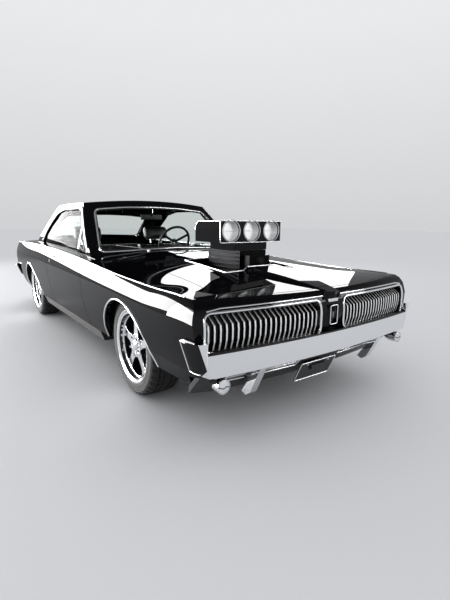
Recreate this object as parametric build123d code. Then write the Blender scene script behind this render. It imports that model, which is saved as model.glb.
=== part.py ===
"""Two-door hardtop muscle car with a blower scoop through its hood.

Frame: +X is the car's left side, +Y points rearwards, +Z is up, and the origin is on the
ground under the middle of the car. All sizes are millimetres.
"""
from build123d import *
from math import atan2, cos, degrees, pi, radians, sin, sqrt
import os

# ---- driving sizes ----
HALF_LENGTH = 2437.0          # from the origin to either bumper's face
WHEEL_X = 722.0               # wheel centre, from the car's middle
FRONT_AXLE_Y = -1482.0
REAR_AXLE_Y = 1337.0
TYRE_R = 325.0
TYRE_W = 224.0
RIM_R = 240.0                 # outside of the rim's flange
KINGPIN_X = 680.0
ARCH_R = 385.0                # wheel arch opening in the body side
ARCH_Z = 250.0                # height of the arch circle's centre
REAR_ARCH_Z = 240.0           # the rear arch sits lower, because its wheel doesn't steer
REAR_HOUSE_R = 415.0          # inside of the rear wheelhouse
REAR_HOUSE_Z = 262.0
WHEELHOUSE_R = 440.0
MOVE_GAP = 6.0                # shut line round a door, hood or lid
SKIN = 30.0                   # body panel with its inner flange
DOOR_INNER_X = 782.0          # inner face of the door beside the pillars
DOOR_BELT_X = 730.0           # inner face of the door under the glass
DOOR_FRONT_Y = -700.0
DOOR_REAR_Y = 418.0
DOOR_BOTTOM_Z = 300.0
DOOR_HINGE_X = 898.0
DOOR_HINGE_Y = -680.0
ROCKER_Z = 215.0
FLOOR_Z = 255.0
FLOOR_T = 25.0
HOOD_REAR_Y = -740.0
COWL_REAR_Y = -430.0
DECK_FRONT_Y = 1700.0
LID_FRONT_Y = 1830.0
LID_HALF_W = 610.0
FRONT_R = 5140.0              # plan radius of the front end
FRONT_NOSE_Y = -2412.0        # foremost point of the front end, under the badge
HOOD_LIP_R = 5062.0           # plan radius of the hood's front edge
REAR_R = 6800.0
TAIL_Y = 2372.0
GRILLE_BACK = 12.0            # grille bars behind the fender edge
GRILLE_IN_X = 106.0
GRILLE_OUT_X = 818.0
GRILLE_Z0 = 505.0
GRILLE_Z1 = 692.0
GRILLE_BARS = 22
GRILLE_DEPTH = 92.0           # from the bars' faces to the back of the panel behind them
GRILLE_BACK_T = 10.0
WINDSHIELD_BASE_Y = -645.0    # middle of the glass at its foot
WINDSHIELD_SAG = 120.0        # how far the corners of the glass sit behind the middle
WINDSHIELD_HALF_W = 724.0
WINDSHIELD_RUN = 451.0        # rearward lean over its rise
WINDSHIELD_RISE = 385.0
BACKLIGHT_BASE_Y = 1790.0
BACKLIGHT_SAG = 90.0
BACKLIGHT_HALF_W = 640.0
BACKLIGHT_RUN = 745.0
BACKLIGHT_RISE = 360.0
WINDOW_FOOT_Z = 867.0         # height at which both window feet are measured
PILLAR = 35.0                 # roof and pillar wall
GLASS_T = 6.0
GLASS_BACK = 12.0             # glass behind the outer surface
SCOOP_HALF_W = 270.0
SCOOP_FRONT_Y = -1686.0
SCOOP_REAR_Y = -1377.0
SCOOP_Z0 = 985.0
SCOOP_Z1 = 1129.0
INTAKE_R = 67.0
INTAKE_PITCH = 180.0
INTAKE_Z = 1062.0
HOOD_HOLE = (300.0, -1790.0, -1290.0)   # half width, front y, rear y
STEER_WHEEL = (350.0, 50.0, 905.0)      # centre of the steering wheel
STEER_TILT = 25.0
CLEAR = 0.3
HINGE_R = MOVE_GAP / 2 - CLEAR
HINGE_HALF_W = 70.0
HOOD_HINGE_Z = 874.0
LID_HINGE_Z = 901.0

# body sections: y, sill x, low x, low z, widest x, widest z, edge x, edge z, crown z
BODY = (
    (-2560.0, 690.0, 790.0, 400.0, 850.0, 640.0, 806.0, 716.0, 726.0),
    (-2250.0, 745.0, 846.0, 400.0, 894.0, 656.0, 850.0, 764.0, 762.0),
    (-1850.0, 780.0, 866.0, 400.0, 904.0, 665.0, 853.0, 767.0, 803.0),
    (-1300.0, 790.0, 868.0, 395.0, 904.0, 680.0, 852.0, 783.0, 848.0),
    (-700.0, 792.0, 864.0, 388.0, 904.0, 692.0, 850.0, 815.0, 876.0),
    (0.0, 792.0, 860.0, 385.0, 904.0, 702.0, 853.0, 844.0, 892.0),
    (780.0, 792.0, 862.0, 388.0, 904.0, 712.0, 857.0, 861.0, 905.0),
    (1500.0, 785.0, 864.0, 400.0, 902.0, 712.0, 852.0, 858.0, 908.0),
    (2050.0, 760.0, 852.0, 430.0, 884.0, 698.0, 836.0, 845.0, 893.0),
    (2560.0, 720.0, 822.0, 470.0, 852.0, 684.0, 806.0, 826.0, 862.0),
)
BODY_FOOT_Z = 190.0

# cabin sections: y, foot x, rail x, rail z, crown z
CABIN = (
    (-800.0, 770.0, 640.0, 1262.0, 1296.0),
    (0.0, 776.0, 646.0, 1286.0, 1324.0),
    (800.0, 768.0, 634.0, 1282.0, 1318.0),
    (1500.0, 742.0, 596.0, 1244.0, 1280.0),
    (2200.0, 700.0, 540.0, 1200.0, 1230.0),
)
CABIN_FOOT_Z = 780.0


# ---- small makers ----
def box(x0, x1, y0, y1, z0, z1):
    size = Box(x1 - x0, y1 - y0, z1 - z0)
    return Pos((x0 + x1) / 2, (y0 + y1) / 2, (z0 + z1) / 2) * size


def prism(corners, way):
    """Flat outline of 3-D corners, pushed along a vector."""
    return Solid.extrude(Face(Wire.make_polygon([Vector(*p) for p in corners], close=True)), Vector(*way))


def prism_x(points, x0, x1):
    """Outline of (y, z) points, from x0 to x1."""
    return prism([(x0, y, z) for y, z in points], (x1 - x0, 0, 0))


def prism_y(points, y0, y1):
    """Outline of (x, z) points, from y0 to y1."""
    return prism([(x, y0, z) for x, z in points], (0, y1 - y0, 0))


def prism_z(points, z0, z1):
    """Outline of (x, y) points, from z0 to z1."""
    return prism([(x, y, z0) for x, y in points], (0, 0, z1 - z0))


def rod(start, end, radius):
    """Round bar between two points."""
    a, b = Vector(*start), Vector(*end)
    plane = Plane(origin=a, z_dir=b - a)
    return extrude(plane * Circle(radius), (b - a).length)


def drum_x(x0, x1, y, z, radius):
    return rod((x0, y, z), (x1, y, z), radius)


def fuse(pieces):
    whole = pieces[0]
    for piece in pieces[1:]:
        whole = whole + piece
    return whole


def mirrored(shape):
    return mirror(shape, about=Plane.YZ)


def both(shape):
    return shape + mirrored(shape)


def bulged(start, end, bulge):
    """Arc between two (x, z) points, its middle pushed sideways by bulge."""
    (x0, z0), (x1, z1) = start, end
    length = sqrt((x1 - x0) ** 2 + (z1 - z0) ** 2)
    mid = ((x0 + x1) / 2 + bulge * (z1 - z0) / length, (z0 + z1) / 2 - bulge * (x1 - x0) / length)
    return start, mid, end


def ring_section(y, half, crown_z):
    """Closed section at y from its right half: a list of lines (2 points) and arcs (3)."""
    def at(point, side):
        return Vector(side * point[0], y, point[1])
    edges = []
    for part in half:
        for side in (1, -1):
            ends = [at(p, side) for p in part]
            if len(ends) == 2:
                edges.append(Edge.make_line(*ends))
            else:
                edges.append(Edge.make_three_point_arc(*ends))
    foot, top = half[0][0], half[-1][-1]
    edges.append(Edge.make_line(at(foot, -1), at(foot, 1)))
    edges.append(Edge.make_three_point_arc(at(top, 1), Vector(0, y, crown_z), at(top, -1)))
    return Wire(edges)


def body_loft(inset):
    wires = []
    for y, sill_x, low_x, low_z, wide_x, wide_z, edge_x, edge_z, crown_z in BODY:
        foot = (sill_x - inset, BODY_FOOT_Z)
        low = (low_x - inset, low_z)
        wide = (wide_x - inset, wide_z)
        edge = (edge_x - inset, edge_z - inset)
        half = [(foot, low), bulged(low, wide, 8.0), bulged(wide, edge, 7.0)]
        wires.append(ring_section(y, half, crown_z - inset))
    return Solid.make_loft(wires)


def cabin_loft(inset):
    wires = []
    for y, foot_x, rail_x, rail_z, crown_z in CABIN:
        half = [bulged((foot_x - inset, CABIN_FOOT_Z), (rail_x - inset, rail_z - inset), 14.0)]
        wires.append(ring_section(y, half, crown_z - inset))
    return Solid.make_loft(wires)


def slanted_window(base_y, sag, half_w, run, rise, shift, depth):
    """Everything on the cabin's side of a curved, raked window surface."""
    direction = 1 if base_y < 0 else -1
    y_mid = base_y + shift * direction
    y_side = y_mid + sag * direction
    far_y = base_y + depth * direction
    below = 200.0
    scale = below / rise
    arc = Edge.make_three_point_arc(Vector(-half_w, y_side, 0), Vector(0, y_mid, 0),
                                    Vector(half_w, y_side, 0))
    wide = half_w + 160.0
    slope = 2 * sag / half_w
    flare_y = y_side + slope * (wide - half_w) * direction
    lines = [Edge.make_line(Vector(half_w, y_side, 0), Vector(wide, flare_y, 0)),
             Edge.make_line(Vector(wide, flare_y, 0), Vector(wide, far_y, 0)),
             Edge.make_line(Vector(wide, far_y, 0), Vector(-wide, far_y, 0)),
             Edge.make_line(Vector(-wide, far_y, 0), Vector(-wide, flare_y, 0)),
             Edge.make_line(Vector(-wide, flare_y, 0), Vector(-half_w, y_side, 0))]
    face = Face(Wire([arc] + lines))
    way = Vector(0, run * direction, rise)
    slab = Solid.extrude(face, way * (1 + 2 * scale))
    return Pos(0, -scale * run * direction, WINDOW_FOOT_Z - below) * slab


# ---- body volumes ----
NOSE_TOP = ((0.0, 0.0), (0.0, 640.0), (-18.0, 716.0), (-40.0, 746.0), (-78.0, 768.0), (-360.0, 1000.0))
NOSE_INSIDE = ((0.0, 0.0), (0.0, 640.0), (-18.0, 716.0), (-240.0, 1000.0))
TAIL_TOP = ((0.0, 0.0), (0.0, 700.0), (-50.0, 1000.0))
FRONT_CENTRE_Y = FRONT_NOSE_Y + FRONT_R
REAR_CENTRE_Y = TAIL_Y - REAR_R


def disc(radius, centre_y, profile):
    """Solid of revolution about a vertical axis, its rim given as (change of radius, z)."""
    rim = [(radius + dr, z) for dr, z in profile]
    face = Plane.XZ * Polygon((0, rim[0][1]), *rim, (0, rim[-1][1]), align=None)
    return Pos(0, centre_y, 0) * revolve(face, Axis.Z, 360)


def front_drum(radius, z0=0.0, z1=1500.0):
    return disc(radius, FRONT_CENTRE_Y, ((0.0, z0), (0.0, z1)))


outer = body_loft(0.0) & disc(FRONT_R, FRONT_CENTRE_Y, NOSE_TOP) & disc(REAR_R, REAR_CENTRE_Y, TAIL_TOP)
inner = (body_loft(SKIN) & disc(FRONT_R - 2 * SKIN, FRONT_CENTRE_Y, NOSE_INSIDE)
         & disc(REAR_R - 2 * SKIN, REAR_CENTRE_Y, TAIL_TOP))
shell = outer - inner


def windshield_side(shift):
    return slanted_window(WINDSHIELD_BASE_Y, WINDSHIELD_SAG, WINDSHIELD_HALF_W, WINDSHIELD_RUN,
                          WINDSHIELD_RISE, shift, 3200.0)


def backlight_side(shift):
    return slanted_window(BACKLIGHT_BASE_Y, BACKLIGHT_SAG, BACKLIGHT_HALF_W, BACKLIGHT_RUN,
                          BACKLIGHT_RISE, shift, 3200.0)


def lean(run, rise, thickness):
    """Shift along y that gives a raked window or pillar this thickness."""
    return thickness * sqrt(run ** 2 + rise ** 2) / rise


def cabin(inset):
    front = windshield_side(lean(WINDSHIELD_RUN, WINDSHIELD_RISE, inset))
    rear = backlight_side(lean(BACKLIGHT_RUN, BACKLIGHT_RISE, inset))
    return cabin_loft(inset) & front & rear


# ---- zones that split the body into its panels ----
half_gap = MOVE_GAP / 2
HOOD_SIDE = ((728.0, -2600.0), (726.0, -2324.0), (674.0, -2161.0), (634.0, -1980.0),
             (610.0, -1740.0), (588.0, -1300.0), (580.0, HOOD_REAR_Y))


def hood_plan(grow):
    side = [(x + grow, y) for x, y in HOOD_SIDE[:-1]] + [(HOOD_SIDE[-1][0] + grow, HOOD_REAR_Y + grow)]
    return side + [(-x, y) for x, y in reversed(side)]


PANEL_FLOOR_Z = 640.0
nose_half_w = GRILLE_OUT_X + 12.0
hood_zone = prism_z(hood_plan(0.0), PANEL_FLOOR_Z, 1000.0) & front_drum(HOOD_LIP_R)
hood_gap_zone = prism_z(hood_plan(MOVE_GAP), PANEL_FLOOR_Z, 1000.0) & front_drum(HOOD_LIP_R + MOVE_GAP)
VALANCE_Z0 = 240.0
VALANCE_Z1 = 468.0
VALANCE_LINE = ((-165.0, VALANCE_Z0), (-112.0, 300.0), (-30.0, 390.0), (-14.0, VALANCE_Z1))
VALANCE_T = 34.0
front_ring = box(-nose_half_w, nose_half_w, -2600.0, -2200.0, 0.0, 1000.0)
nose_zone = (front_ring - front_drum(HOOD_LIP_R + MOVE_GAP)) & box(-1000, 1000, -2600, 0, VALANCE_Z1, 1000)
valance_zone = front_ring & box(-1000, 1000, -2600, 0, 0.0, VALANCE_Z1)
COWL_HALF_W = DOOR_INNER_X - MOVE_GAP
cowl_zone = box(-COWL_HALF_W, COWL_HALF_W, HOOD_REAR_Y, COWL_REAR_Y, PANEL_FLOOR_Z, 1000.0)
DECK_HALF_W = 690.0
TAIL_HALF_W = 800.0
DECK_Y0 = 1590.0
deck_zone = box(-DECK_HALF_W, DECK_HALF_W, DECK_Y0, LID_FRONT_Y - MOVE_GAP, PANEL_FLOOR_Z, 1000.0)
lid_zone = (box(-LID_HALF_W, LID_HALF_W, LID_FRONT_Y, 2600.0, PANEL_FLOOR_Z, 1000.0)
            & disc(REAR_R - 2 * SKIN - MOVE_GAP, REAR_CENTRE_Y, TAIL_TOP))
lid_gap_zone = (box(-LID_HALF_W - MOVE_GAP, LID_HALF_W + MOVE_GAP, LID_FRONT_Y - MOVE_GAP, 2600.0,
                    PANEL_FLOOR_Z, 1000.0)
                & disc(REAR_R - 2 * SKIN, REAR_CENTRE_Y, TAIL_TOP))
tail_zone = (box(-TAIL_HALF_W, TAIL_HALF_W, 2100.0, 2600.0, DOOR_BOTTOM_Z, 1000.0)
             - disc(REAR_R - 2 * SKIN, REAR_CENTRE_Y, TAIL_TOP))


BUMPER_HALF_W = 905.0
BUMPER_FLARE = 55.0           # how far the wrapped ends lean out from foot to head
BUMPER_R = 6400.0
BUMPER_T = 46.0
BUMPER_END_T = 20.0
BAR_HALF_W = 838.0            # the low stretch between the taller wrapped ends
# foot z, head z, head z of the ends, wrap
FRONT_BAR = (400.0, 512.0, 572.0, 190.0)
REAR_BAR = (400.0, 505.0, 540.0, 230.0)


def bumper_block(face_y, sign, inset, sizes, over=0.0):
    """Solid inside a bumper's outer faces, its ends leaning outwards, let in by inset."""
    z0, z1, end_z1, wrap = sizes
    wires = []
    for z, lean_in in ((z0 - over, BUMPER_FLARE), (end_z1 + over, 0.0)):
        half_w = BUMPER_HALF_W - inset - lean_in
        half = ((half_w - 45.0, face_y + sign * 20.0), (half_w, face_y - sign * 150.0), (half_w, face_y - sign * wrap))
        corners = list(half) + [(-x, y) for x, y in reversed(half)]
        wires.append(Wire.make_polygon([Vector(x, y, z) for x, y in corners], close=True))
    return Solid.make_loft(wires, True)


def bumper_inside(face_y, sign, sizes, clear):
    """Room behind a bumper, between its ends."""
    z0, z1, end_z1, wrap = sizes
    deep = (z0, z1, end_z1, wrap + 400.0)
    drum = Pos(0, face_y - sign * BUMPER_R, 0) * Cylinder(BUMPER_R - BUMPER_T - clear, 3000.0)
    return bumper_block(face_y, sign, BUMPER_END_T + clear, deep, 1.0) & drum


def bumper(face_y, sign, sizes):
    """Chrome bumper with taller wrapped ends; sign is -1 at the front and 1 at the rear."""
    z0, z1, end_z1, wrap = sizes
    drum = Pos(0, face_y - sign * BUMPER_R, 0) * Cylinder(BUMPER_R, 3000.0)
    bar = (bumper_block(face_y, sign, 0.0, sizes) & drum) - bumper_inside(face_y, sign, sizes, 0.0)
    return bar - box(-BAR_HALF_W, BAR_HALF_W, face_y - 500.0, face_y + 500.0, z1, end_z1 + 1.0)


def bumper_room_of(face_y, sign, sizes):
    """Room that the body leaves for a bumper."""
    z0, z1, end_z1, wrap = sizes
    deep = face_y - sign * (wrap + CLEAR)
    ends = box(-1000.0, 1000.0, min(face_y * 1.1, deep), max(face_y * 1.1, deep), z0 - CLEAR, end_z1 + CLEAR)
    low = box(-BAR_HALF_W + CLEAR, BAR_HALF_W - CLEAR, min(face_y * 1.1, deep), max(face_y * 1.1, deep),
              z1 + CLEAR, end_z1 + 1.0)
    return ends - low - bumper_inside(face_y, sign, sizes, CLEAR)


bumper_room = bumper_room_of(-HALF_LENGTH, -1, FRONT_BAR)


# ---- body panels ----
def ridge():
    """Raised centre of the hood, wide at the scoop and narrow at the nose."""
    wires = []
    for y, half_w, top_z in ((-2440.0, 38.0, 738.0), (-2180.0, 76.0, 788.0), (-1700.0, 150.0, 836.0)):
        points = ((-half_w - 20.0, y, top_z - 40.0), (-half_w, y, top_z),
                  (half_w, y, top_z), (half_w + 20.0, y, top_z - 40.0))
        wires.append(Wire.make_polygon([Vector(*p) for p in points], close=True))
    return Solid.make_loft(wires)


def hood():
    half_w, y0, y1 = HOOD_HOLE
    panel = (shell & hood_zone) + (ridge() & front_drum(HOOD_LIP_R))
    panel = panel - box(-half_w, half_w, y0, y1, 600.0, 1100.0)
    return panel + hinge(HOOD_REAR_Y, 1.0, HOOD_HINGE_Z)


def hinge(edge_y, sign, z):
    """Hinge barrel in the shut line beside the edge at edge_y, with its leaf."""
    y = edge_y + sign * MOVE_GAP / 2
    barrel = rod((-HINGE_HALF_W, y, z), (HINGE_HALF_W, y, z), HINGE_R)
    leaf = box(-HINGE_HALF_W, HINGE_HALF_W, min(edge_y - sign * 2.0, y), max(edge_y - sign * 2.0, y), z - 2.0, z)
    return barrel + leaf


def nose_panel():
    """Front wall round both grille openings, with the nose cap and the blank badge plate."""
    panel = shell & nose_zone
    cap = (ridge() & front_drum(FRONT_R + 5.0)) - front_drum(HOOD_LIP_R + MOVE_GAP)
    panel = panel + cap
    panel = panel - both(box(GRILLE_IN_X, GRILLE_OUT_X, -2600.0, -2200.0, GRILLE_Z0, GRILLE_Z1))
    badge = box(-34.0, 34.0, -2500.0, -2380.0, 552.0, 668.0) & front_drum(FRONT_R + 8.0)
    return (panel + badge) - bumper_room


def fender():
    """Left front fender, from the grille to the door cut."""
    zone = box(0.0, 1000.0, -2600.0, DOOR_FRONT_Y - half_gap, DOOR_BOTTOM_Z, 1000.0)
    panel = (shell & zone) - hood_gap_zone - nose_zone - valance_zone - cowl_zone - bumper_room
    return panel - drum_x(300.0, 1000.0, FRONT_AXLE_Y + 10.0, ARCH_Z, ARCH_R)


HINGE_PAD_R = 117.4           # door pads turn on this radius about the hinge axis
HINGE_PADS_Z = ((400.0, 440.0), (640.0, 680.0))
HINGE_POST_X = 740.0


def hinge_arc(radius, z0, z1):
    return rod((DOOR_HINGE_X, DOOR_HINGE_Y, z0), (DOOR_HINGE_X, DOOR_HINGE_Y, z1), radius)


def hinge_post():
    """Left hinge pillar with the two fixed pads that the door's pads slide on."""
    y0 = DOOR_FRONT_Y + half_gap
    post = box(HINGE_POST_X, COWL_HALF_W, y0, -630.0, DOOR_BOTTOM_Z - MOVE_GAP, 1000.0) & outer
    for z0, z1 in HINGE_PADS_Z:
        pad = box(COWL_HALF_W - 1.0, DOOR_INNER_X, y0, DOOR_HINGE_Y - 1.0, z0, z1)
        post = post + (pad - hinge_arc(HINGE_PAD_R + CLEAR, z0 - 1.0, z1 + 1.0))
    return post


def cowl():
    """Panel under the windshield, with the firewall and the hinge pillars."""
    panel = ((shell & cowl_zone) + both(hinge_post())) - hood_gap_zone
    wall = outer & box(-COWL_HALF_W, COWL_HALF_W, -650.0, -630.0, DOOR_BOTTOM_Z - MOVE_GAP, 1000.0)
    foot = box(-690.0, 690.0, -650.0, -630.0, FLOOR_Z + FLOOR_T, 400.0)
    return (panel + (wall + foot)) - tunnel_hollow()


def quarter():
    """Left rear quarter panel, from the door cut to the tail."""
    zone = box(0.0, 1000.0, DOOR_REAR_Y + half_gap, 2600.0, DOOR_BOTTOM_Z, 1000.0)
    cabin_hole = box(-1000.0, DECK_HALF_W + 40.0, 0.0, DECK_Y0, 0.0, 1000.0)
    panel = (shell & zone) - cabin_hole - deck_zone - lid_gap_zone - tail_zone
    return panel - drum_x(300.0, 1000.0, REAR_AXLE_Y, REAR_ARCH_Z, ARCH_R)


def rear_body():
    """Panel between the rear window and the trunk lid, and the tail panel under the lid."""
    deck = shell & deck_zone
    tail = (shell & tail_zone) - both(tail_lamp_room())
    return deck + tail


def tail_lamp_room():
    return box(120.0, 700.0, 2300.0, 2600.0, 560.0, 690.0) - disc(REAR_R - 40.0, REAR_CENTRE_Y, TAIL_TOP)


def tail_lamps():
    lens = tail_lamp_room() & disc(REAR_R - 8.0, REAR_CENTRE_Y, TAIL_TOP)
    return both(lens)


def trunk_lid():
    return (shell & lid_zone) + hinge(LID_FRONT_Y, -1.0, LID_HINGE_Z)


def side_window(grow):
    """Outline of the side glass as (y, z) points, let out by grow."""
    return ((-432.0 - grow, 790.0), (-424.0 - grow, 880.0), (-110.0 - grow, 1180.0 + grow),
            (-66.0, 1214.0 + grow), (20.0, 1232.0 + grow), (545.0, 1232.0 + grow),
            (770.0, 1196.0 + grow), (1090.0 + grow, 1035.0 + grow), (1262.0 + grow, 900.0),
            (1270.0 + grow, 790.0))


def roof():
    """Roof with its pillars, round all the window openings."""
    frame = cabin(0.0) - cabin(PILLAR)
    frame = frame - prism_x(side_window(0.0), -1000.0, 1000.0)
    frame = frame - prism_y(windshield_outline(), -1000.0, 300.0)
    frame = frame - prism_y(backlight_outline(), 850.0, 2300.0)
    return frame - outer


def windshield_outline():
    half = ((668.0, 874.0), (574.0, 1218.0), (300.0, 1242.0))
    return [(0.0, 899.0)] + list(half) + [(0.0, 1250.0)] + [(-x, z) for x, z in reversed(half)]


def backlight_outline():
    half = ((590.0, 925.0), (505.0, 1180.0), (260.0, 1202.0))
    return [(0.0, 940.0)] + list(half) + [(0.0, 1208.0)] + [(-x, z) for x, z in reversed(half)]


def windshield():
    pane = (windshield_side(lean(WINDSHIELD_RUN, WINDSHIELD_RISE, GLASS_BACK))
            - windshield_side(lean(WINDSHIELD_RUN, WINDSHIELD_RISE, GLASS_BACK + GLASS_T)))
    return pane & prism_y(windshield_outline(), -1000.0, 300.0)


def rear_window():
    pane = (backlight_side(lean(BACKLIGHT_RUN, BACKLIGHT_RISE, GLASS_BACK))
            - backlight_side(lean(BACKLIGHT_RUN, BACKLIGHT_RISE, GLASS_BACK + GLASS_T)))
    return pane & prism_y(backlight_outline(), 850.0, 2300.0)


side_pane = cabin_loft(GLASS_BACK) - cabin_loft(GLASS_BACK + GLASS_T)


def side_glass(y0, y1, grow):
    pane = side_pane & prism_x(side_window(grow), 400.0, 1000.0)
    return (pane & box(0.0, 1000.0, y0, y1, 0.0, 1400.0)) - outer


def door_glass():
    return side_glass(-1000.0, DOOR_REAR_Y - half_gap, -MOVE_GAP)


def rear_glass():
    """Rear window and both fixed rear side windows."""
    return rear_window() + both(side_glass(DOOR_REAR_Y + half_gap, 2000.0, 0.0))


def door():
    """Left door, as thick as the real one, from the skin to its inner trim."""
    room = box(DOOR_INNER_X, 1000.0, DOOR_FRONT_Y + half_gap, DOOR_REAR_Y - half_gap, DOOR_BOTTOM_Z, 1000.0)
    room = room + box(DOOR_BELT_X, 1000.0, COWL_REAR_Y + MOVE_GAP, DOOR_REAR_Y - half_gap,
                      DOOR_BOTTOM_Z + 40.0, 1000.0)
    for z0, z1 in HINGE_PADS_Z:
        arc = hinge_arc(HINGE_PAD_R, z0, z1)
        room = room + (box(COWL_HALF_W, DOOR_INNER_X + 4.0, DOOR_FRONT_Y + half_gap, -640.0, z0, z1) & arc)
    return outer & room


# ---- floor and frame ----
REAR_FLOOR_Z = 440.0
GEARBOX_REAR_Y = -660.0
TOW_EYE_R = 16.0
TOW_EYE_Y = 2280.0
TOW_EYE_Z = 262.0
TOW_EYE_T = 16.0
FLOOR_HALF_W = 700.0          # the rockers stand against this edge


def floor_pan():
    """Cabin and trunk floor, stepped up over the axle, with the rear tow eye."""
    y_kick, y_up = 1000.0, 1110.0
    line = [(-650.0, FLOOR_Z), (y_kick, FLOOR_Z), (y_up, REAR_FLOOR_Z), (2350.0, REAR_FLOOR_Z),
            (2350.0, REAR_FLOOR_Z + FLOOR_T), (y_up - 10.0, REAR_FLOOR_Z + FLOOR_T),
            (y_kick - 10.0, FLOOR_Z + FLOOR_T), (-650.0, FLOOR_Z + FLOOR_T)]
    pan = prism_x(line, -FLOOR_HALF_W, FLOOR_HALF_W) & disc(REAR_R - 2 * SKIN - CLEAR, REAR_CENTRE_Y, TAIL_TOP)
    eye = box(-30.0, 30.0, TOW_EYE_Y - TOW_EYE_T / 2, TOW_EYE_Y + TOW_EYE_T / 2, TOW_EYE_Z - 32.0, REAR_FLOOR_Z)
    pan = (pan + eye) - tunnel_outside() - tunnel_hollow() - both(wheelhouse_outside())
    return pan - rod((0.0, TOW_EYE_Y - TOW_EYE_T, TOW_EYE_Z), (0.0, TOW_EYE_Y + TOW_EYE_T, TOW_EYE_Z), TOW_EYE_R)


def tunnel_outside():
    return prism_y(((-150.0, FLOOR_Z), (-110.0, 400.0), (110.0, 400.0), (150.0, FLOOR_Z)), -630.0, 1060.0)


def tunnel_hollow():
    return prism_y(((-138.0, FLOOR_Z - 9.0), (-100.0, 388.0), (100.0, 388.0), (138.0, FLOOR_Z - 9.0)), -660.0, 1200.0)


def wheelhouse_outside():
    return drum_x(540.0, 785.0, REAR_AXLE_Y, REAR_HOUSE_Z, REAR_HOUSE_R + 12.0)


def underframe():
    """Rockers, tunnel and rear wheelhouses, which all stand against the floor."""
    rocker = outer & box(FLOOR_HALF_W, 1000.0, DOOR_FRONT_Y - 200.0, 930.0, ROCKER_Z, DOOR_BOTTOM_Z - MOVE_GAP)
    rocker = rocker - drum_x(300.0, 1000.0, FRONT_AXLE_Y, ARCH_Z, WHEELHOUSE_R)
    house = wheelhouse_outside() & box(500.0, 1000.0, 800.0, 2000.0, 400.0, 1000.0)
    house = house - drum_x(552.0, 1000.0, REAR_AXLE_Y, REAR_HOUSE_Z, REAR_HOUSE_R)
    return both(rocker) + both(house) + (tunnel_outside() - tunnel_hollow())


RAIL_X0, RAIL_X1 = 350.0, 410.0


def front_frame():
    """Front rails, crossmember, radiator support, aprons with wheelhouses, and control arms."""
    rail = box(RAIL_X0, RAIL_X1, -2360.0, -650.0, 300.0, 380.0) & valance_disc(-VALANCE_T - CLEAR)
    cross = box(-RAIL_X1, RAIL_X1, FRONT_AXLE_Y - 60.0, FRONT_AXLE_Y + 60.0, 215.0, 300.0)
    support = box(-460.0, 460.0, -2235.0, -2215.0, 300.0, 690.0)
    house = drum_x(430.0, 785.0, FRONT_AXLE_Y, ARCH_Z, WHEELHOUSE_R + 12.0)
    house = house & box(400.0, 1000.0, -2200.0, DOOR_FRONT_Y - 10.0, 290.0, 700.0)
    well = drum_x(442.0, 1000.0, FRONT_AXLE_Y, ARCH_Z, WHEELHOUSE_R)
    house = house - well
    apron = box(RAIL_X1, 442.0, -2215.0, -650.0, 300.0, 700.0)
    arms = fuse([prism_z(((RAIL_X1 - 5.0, FRONT_AXLE_Y - 110.0), (KINGPIN_X + 20.0, FRONT_AXLE_Y - 24.0),
                          (KINGPIN_X + 20.0, FRONT_AXLE_Y + 24.0), (RAIL_X1 - 5.0, FRONT_AXLE_Y + 110.0)), z, z + 24.0)
                 for z in (186.0, 446.0)])
    arm_foot = box(RAIL_X0, RAIL_X1, FRONT_AXLE_Y - 60.0, FRONT_AXLE_Y + 60.0, 186.0, 215.0)
    side = fuse([rail, house, apron, arms, arm_foot])
    return both(side) + cross + support


def knuckle():
    """Left steering knuckle with its spindle, between the control arms."""
    post = box(KINGPIN_X - 20.0, KINGPIN_X + 20.0, FRONT_AXLE_Y - 24.0, FRONT_AXLE_Y + 24.0, 210.0 + CLEAR, 446.0 - CLEAR)
    disc_brake = drum_x(KINGPIN_X + 20.0, KINGPIN_X + 42.0, FRONT_AXLE_Y, TYRE_R, 108.0)
    spindle = drum_x(KINGPIN_X, HUB_X0 + 20.0, FRONT_AXLE_Y, TYRE_R, SPINDLE_R)
    return post + disc_brake + spindle


def rear_axle():
    """Live axle with its differential, brake drums, leaf springs and propeller shaft."""
    tube = drum_x(-WHEEL_X + 60.0, WHEEL_X - 60.0, REAR_AXLE_Y, TYRE_R, 38.0)
    centre = drum_x(-90.0, 90.0, REAR_AXLE_Y, TYRE_R, 105.0)
    drum = drum_x(WHEEL_X - 90.0, WHEEL_X - 4.0, REAR_AXLE_Y, TYRE_R, 140.0)
    spindle = drum_x(WHEEL_X - 60.0, HUB_X0 + 20.0, REAR_AXLE_Y, TYRE_R, SPINDLE_R)
    spring = box(500.0, 560.0, 780.0, 1960.0, 226.0, 248.0)
    seat = box(495.0, 565.0, REAR_AXLE_Y - 50.0, REAR_AXLE_Y + 50.0, 248.0, 300.0)
    seat = seat + box(510.0, 550.0, 780.0, 820.0, 248.0, FLOOR_Z) + box(510.0, 550.0, 1930.0, 1960.0, 248.0, REAR_FLOOR_Z)
    shaft = rod((0.0, GEARBOX_REAR_Y + 1.0, 320.0), (0.0, REAR_AXLE_Y - 60.0, TYRE_R), 38.0)
    return fuse([tube, centre, shaft, both(drum), both(spindle), both(spring), both(seat)])


# ---- wheels ----
SPINDLE_R = 30.0
HUB_X0 = WHEEL_X + 40.0       # inner face of the wheel's hub
HUB_R = 76.0
DISC_X1 = WHEEL_X + 78.0      # outer face of the spokes at the hub
SPOKES = 5
BEAD_R = RIM_R - 10.0


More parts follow.
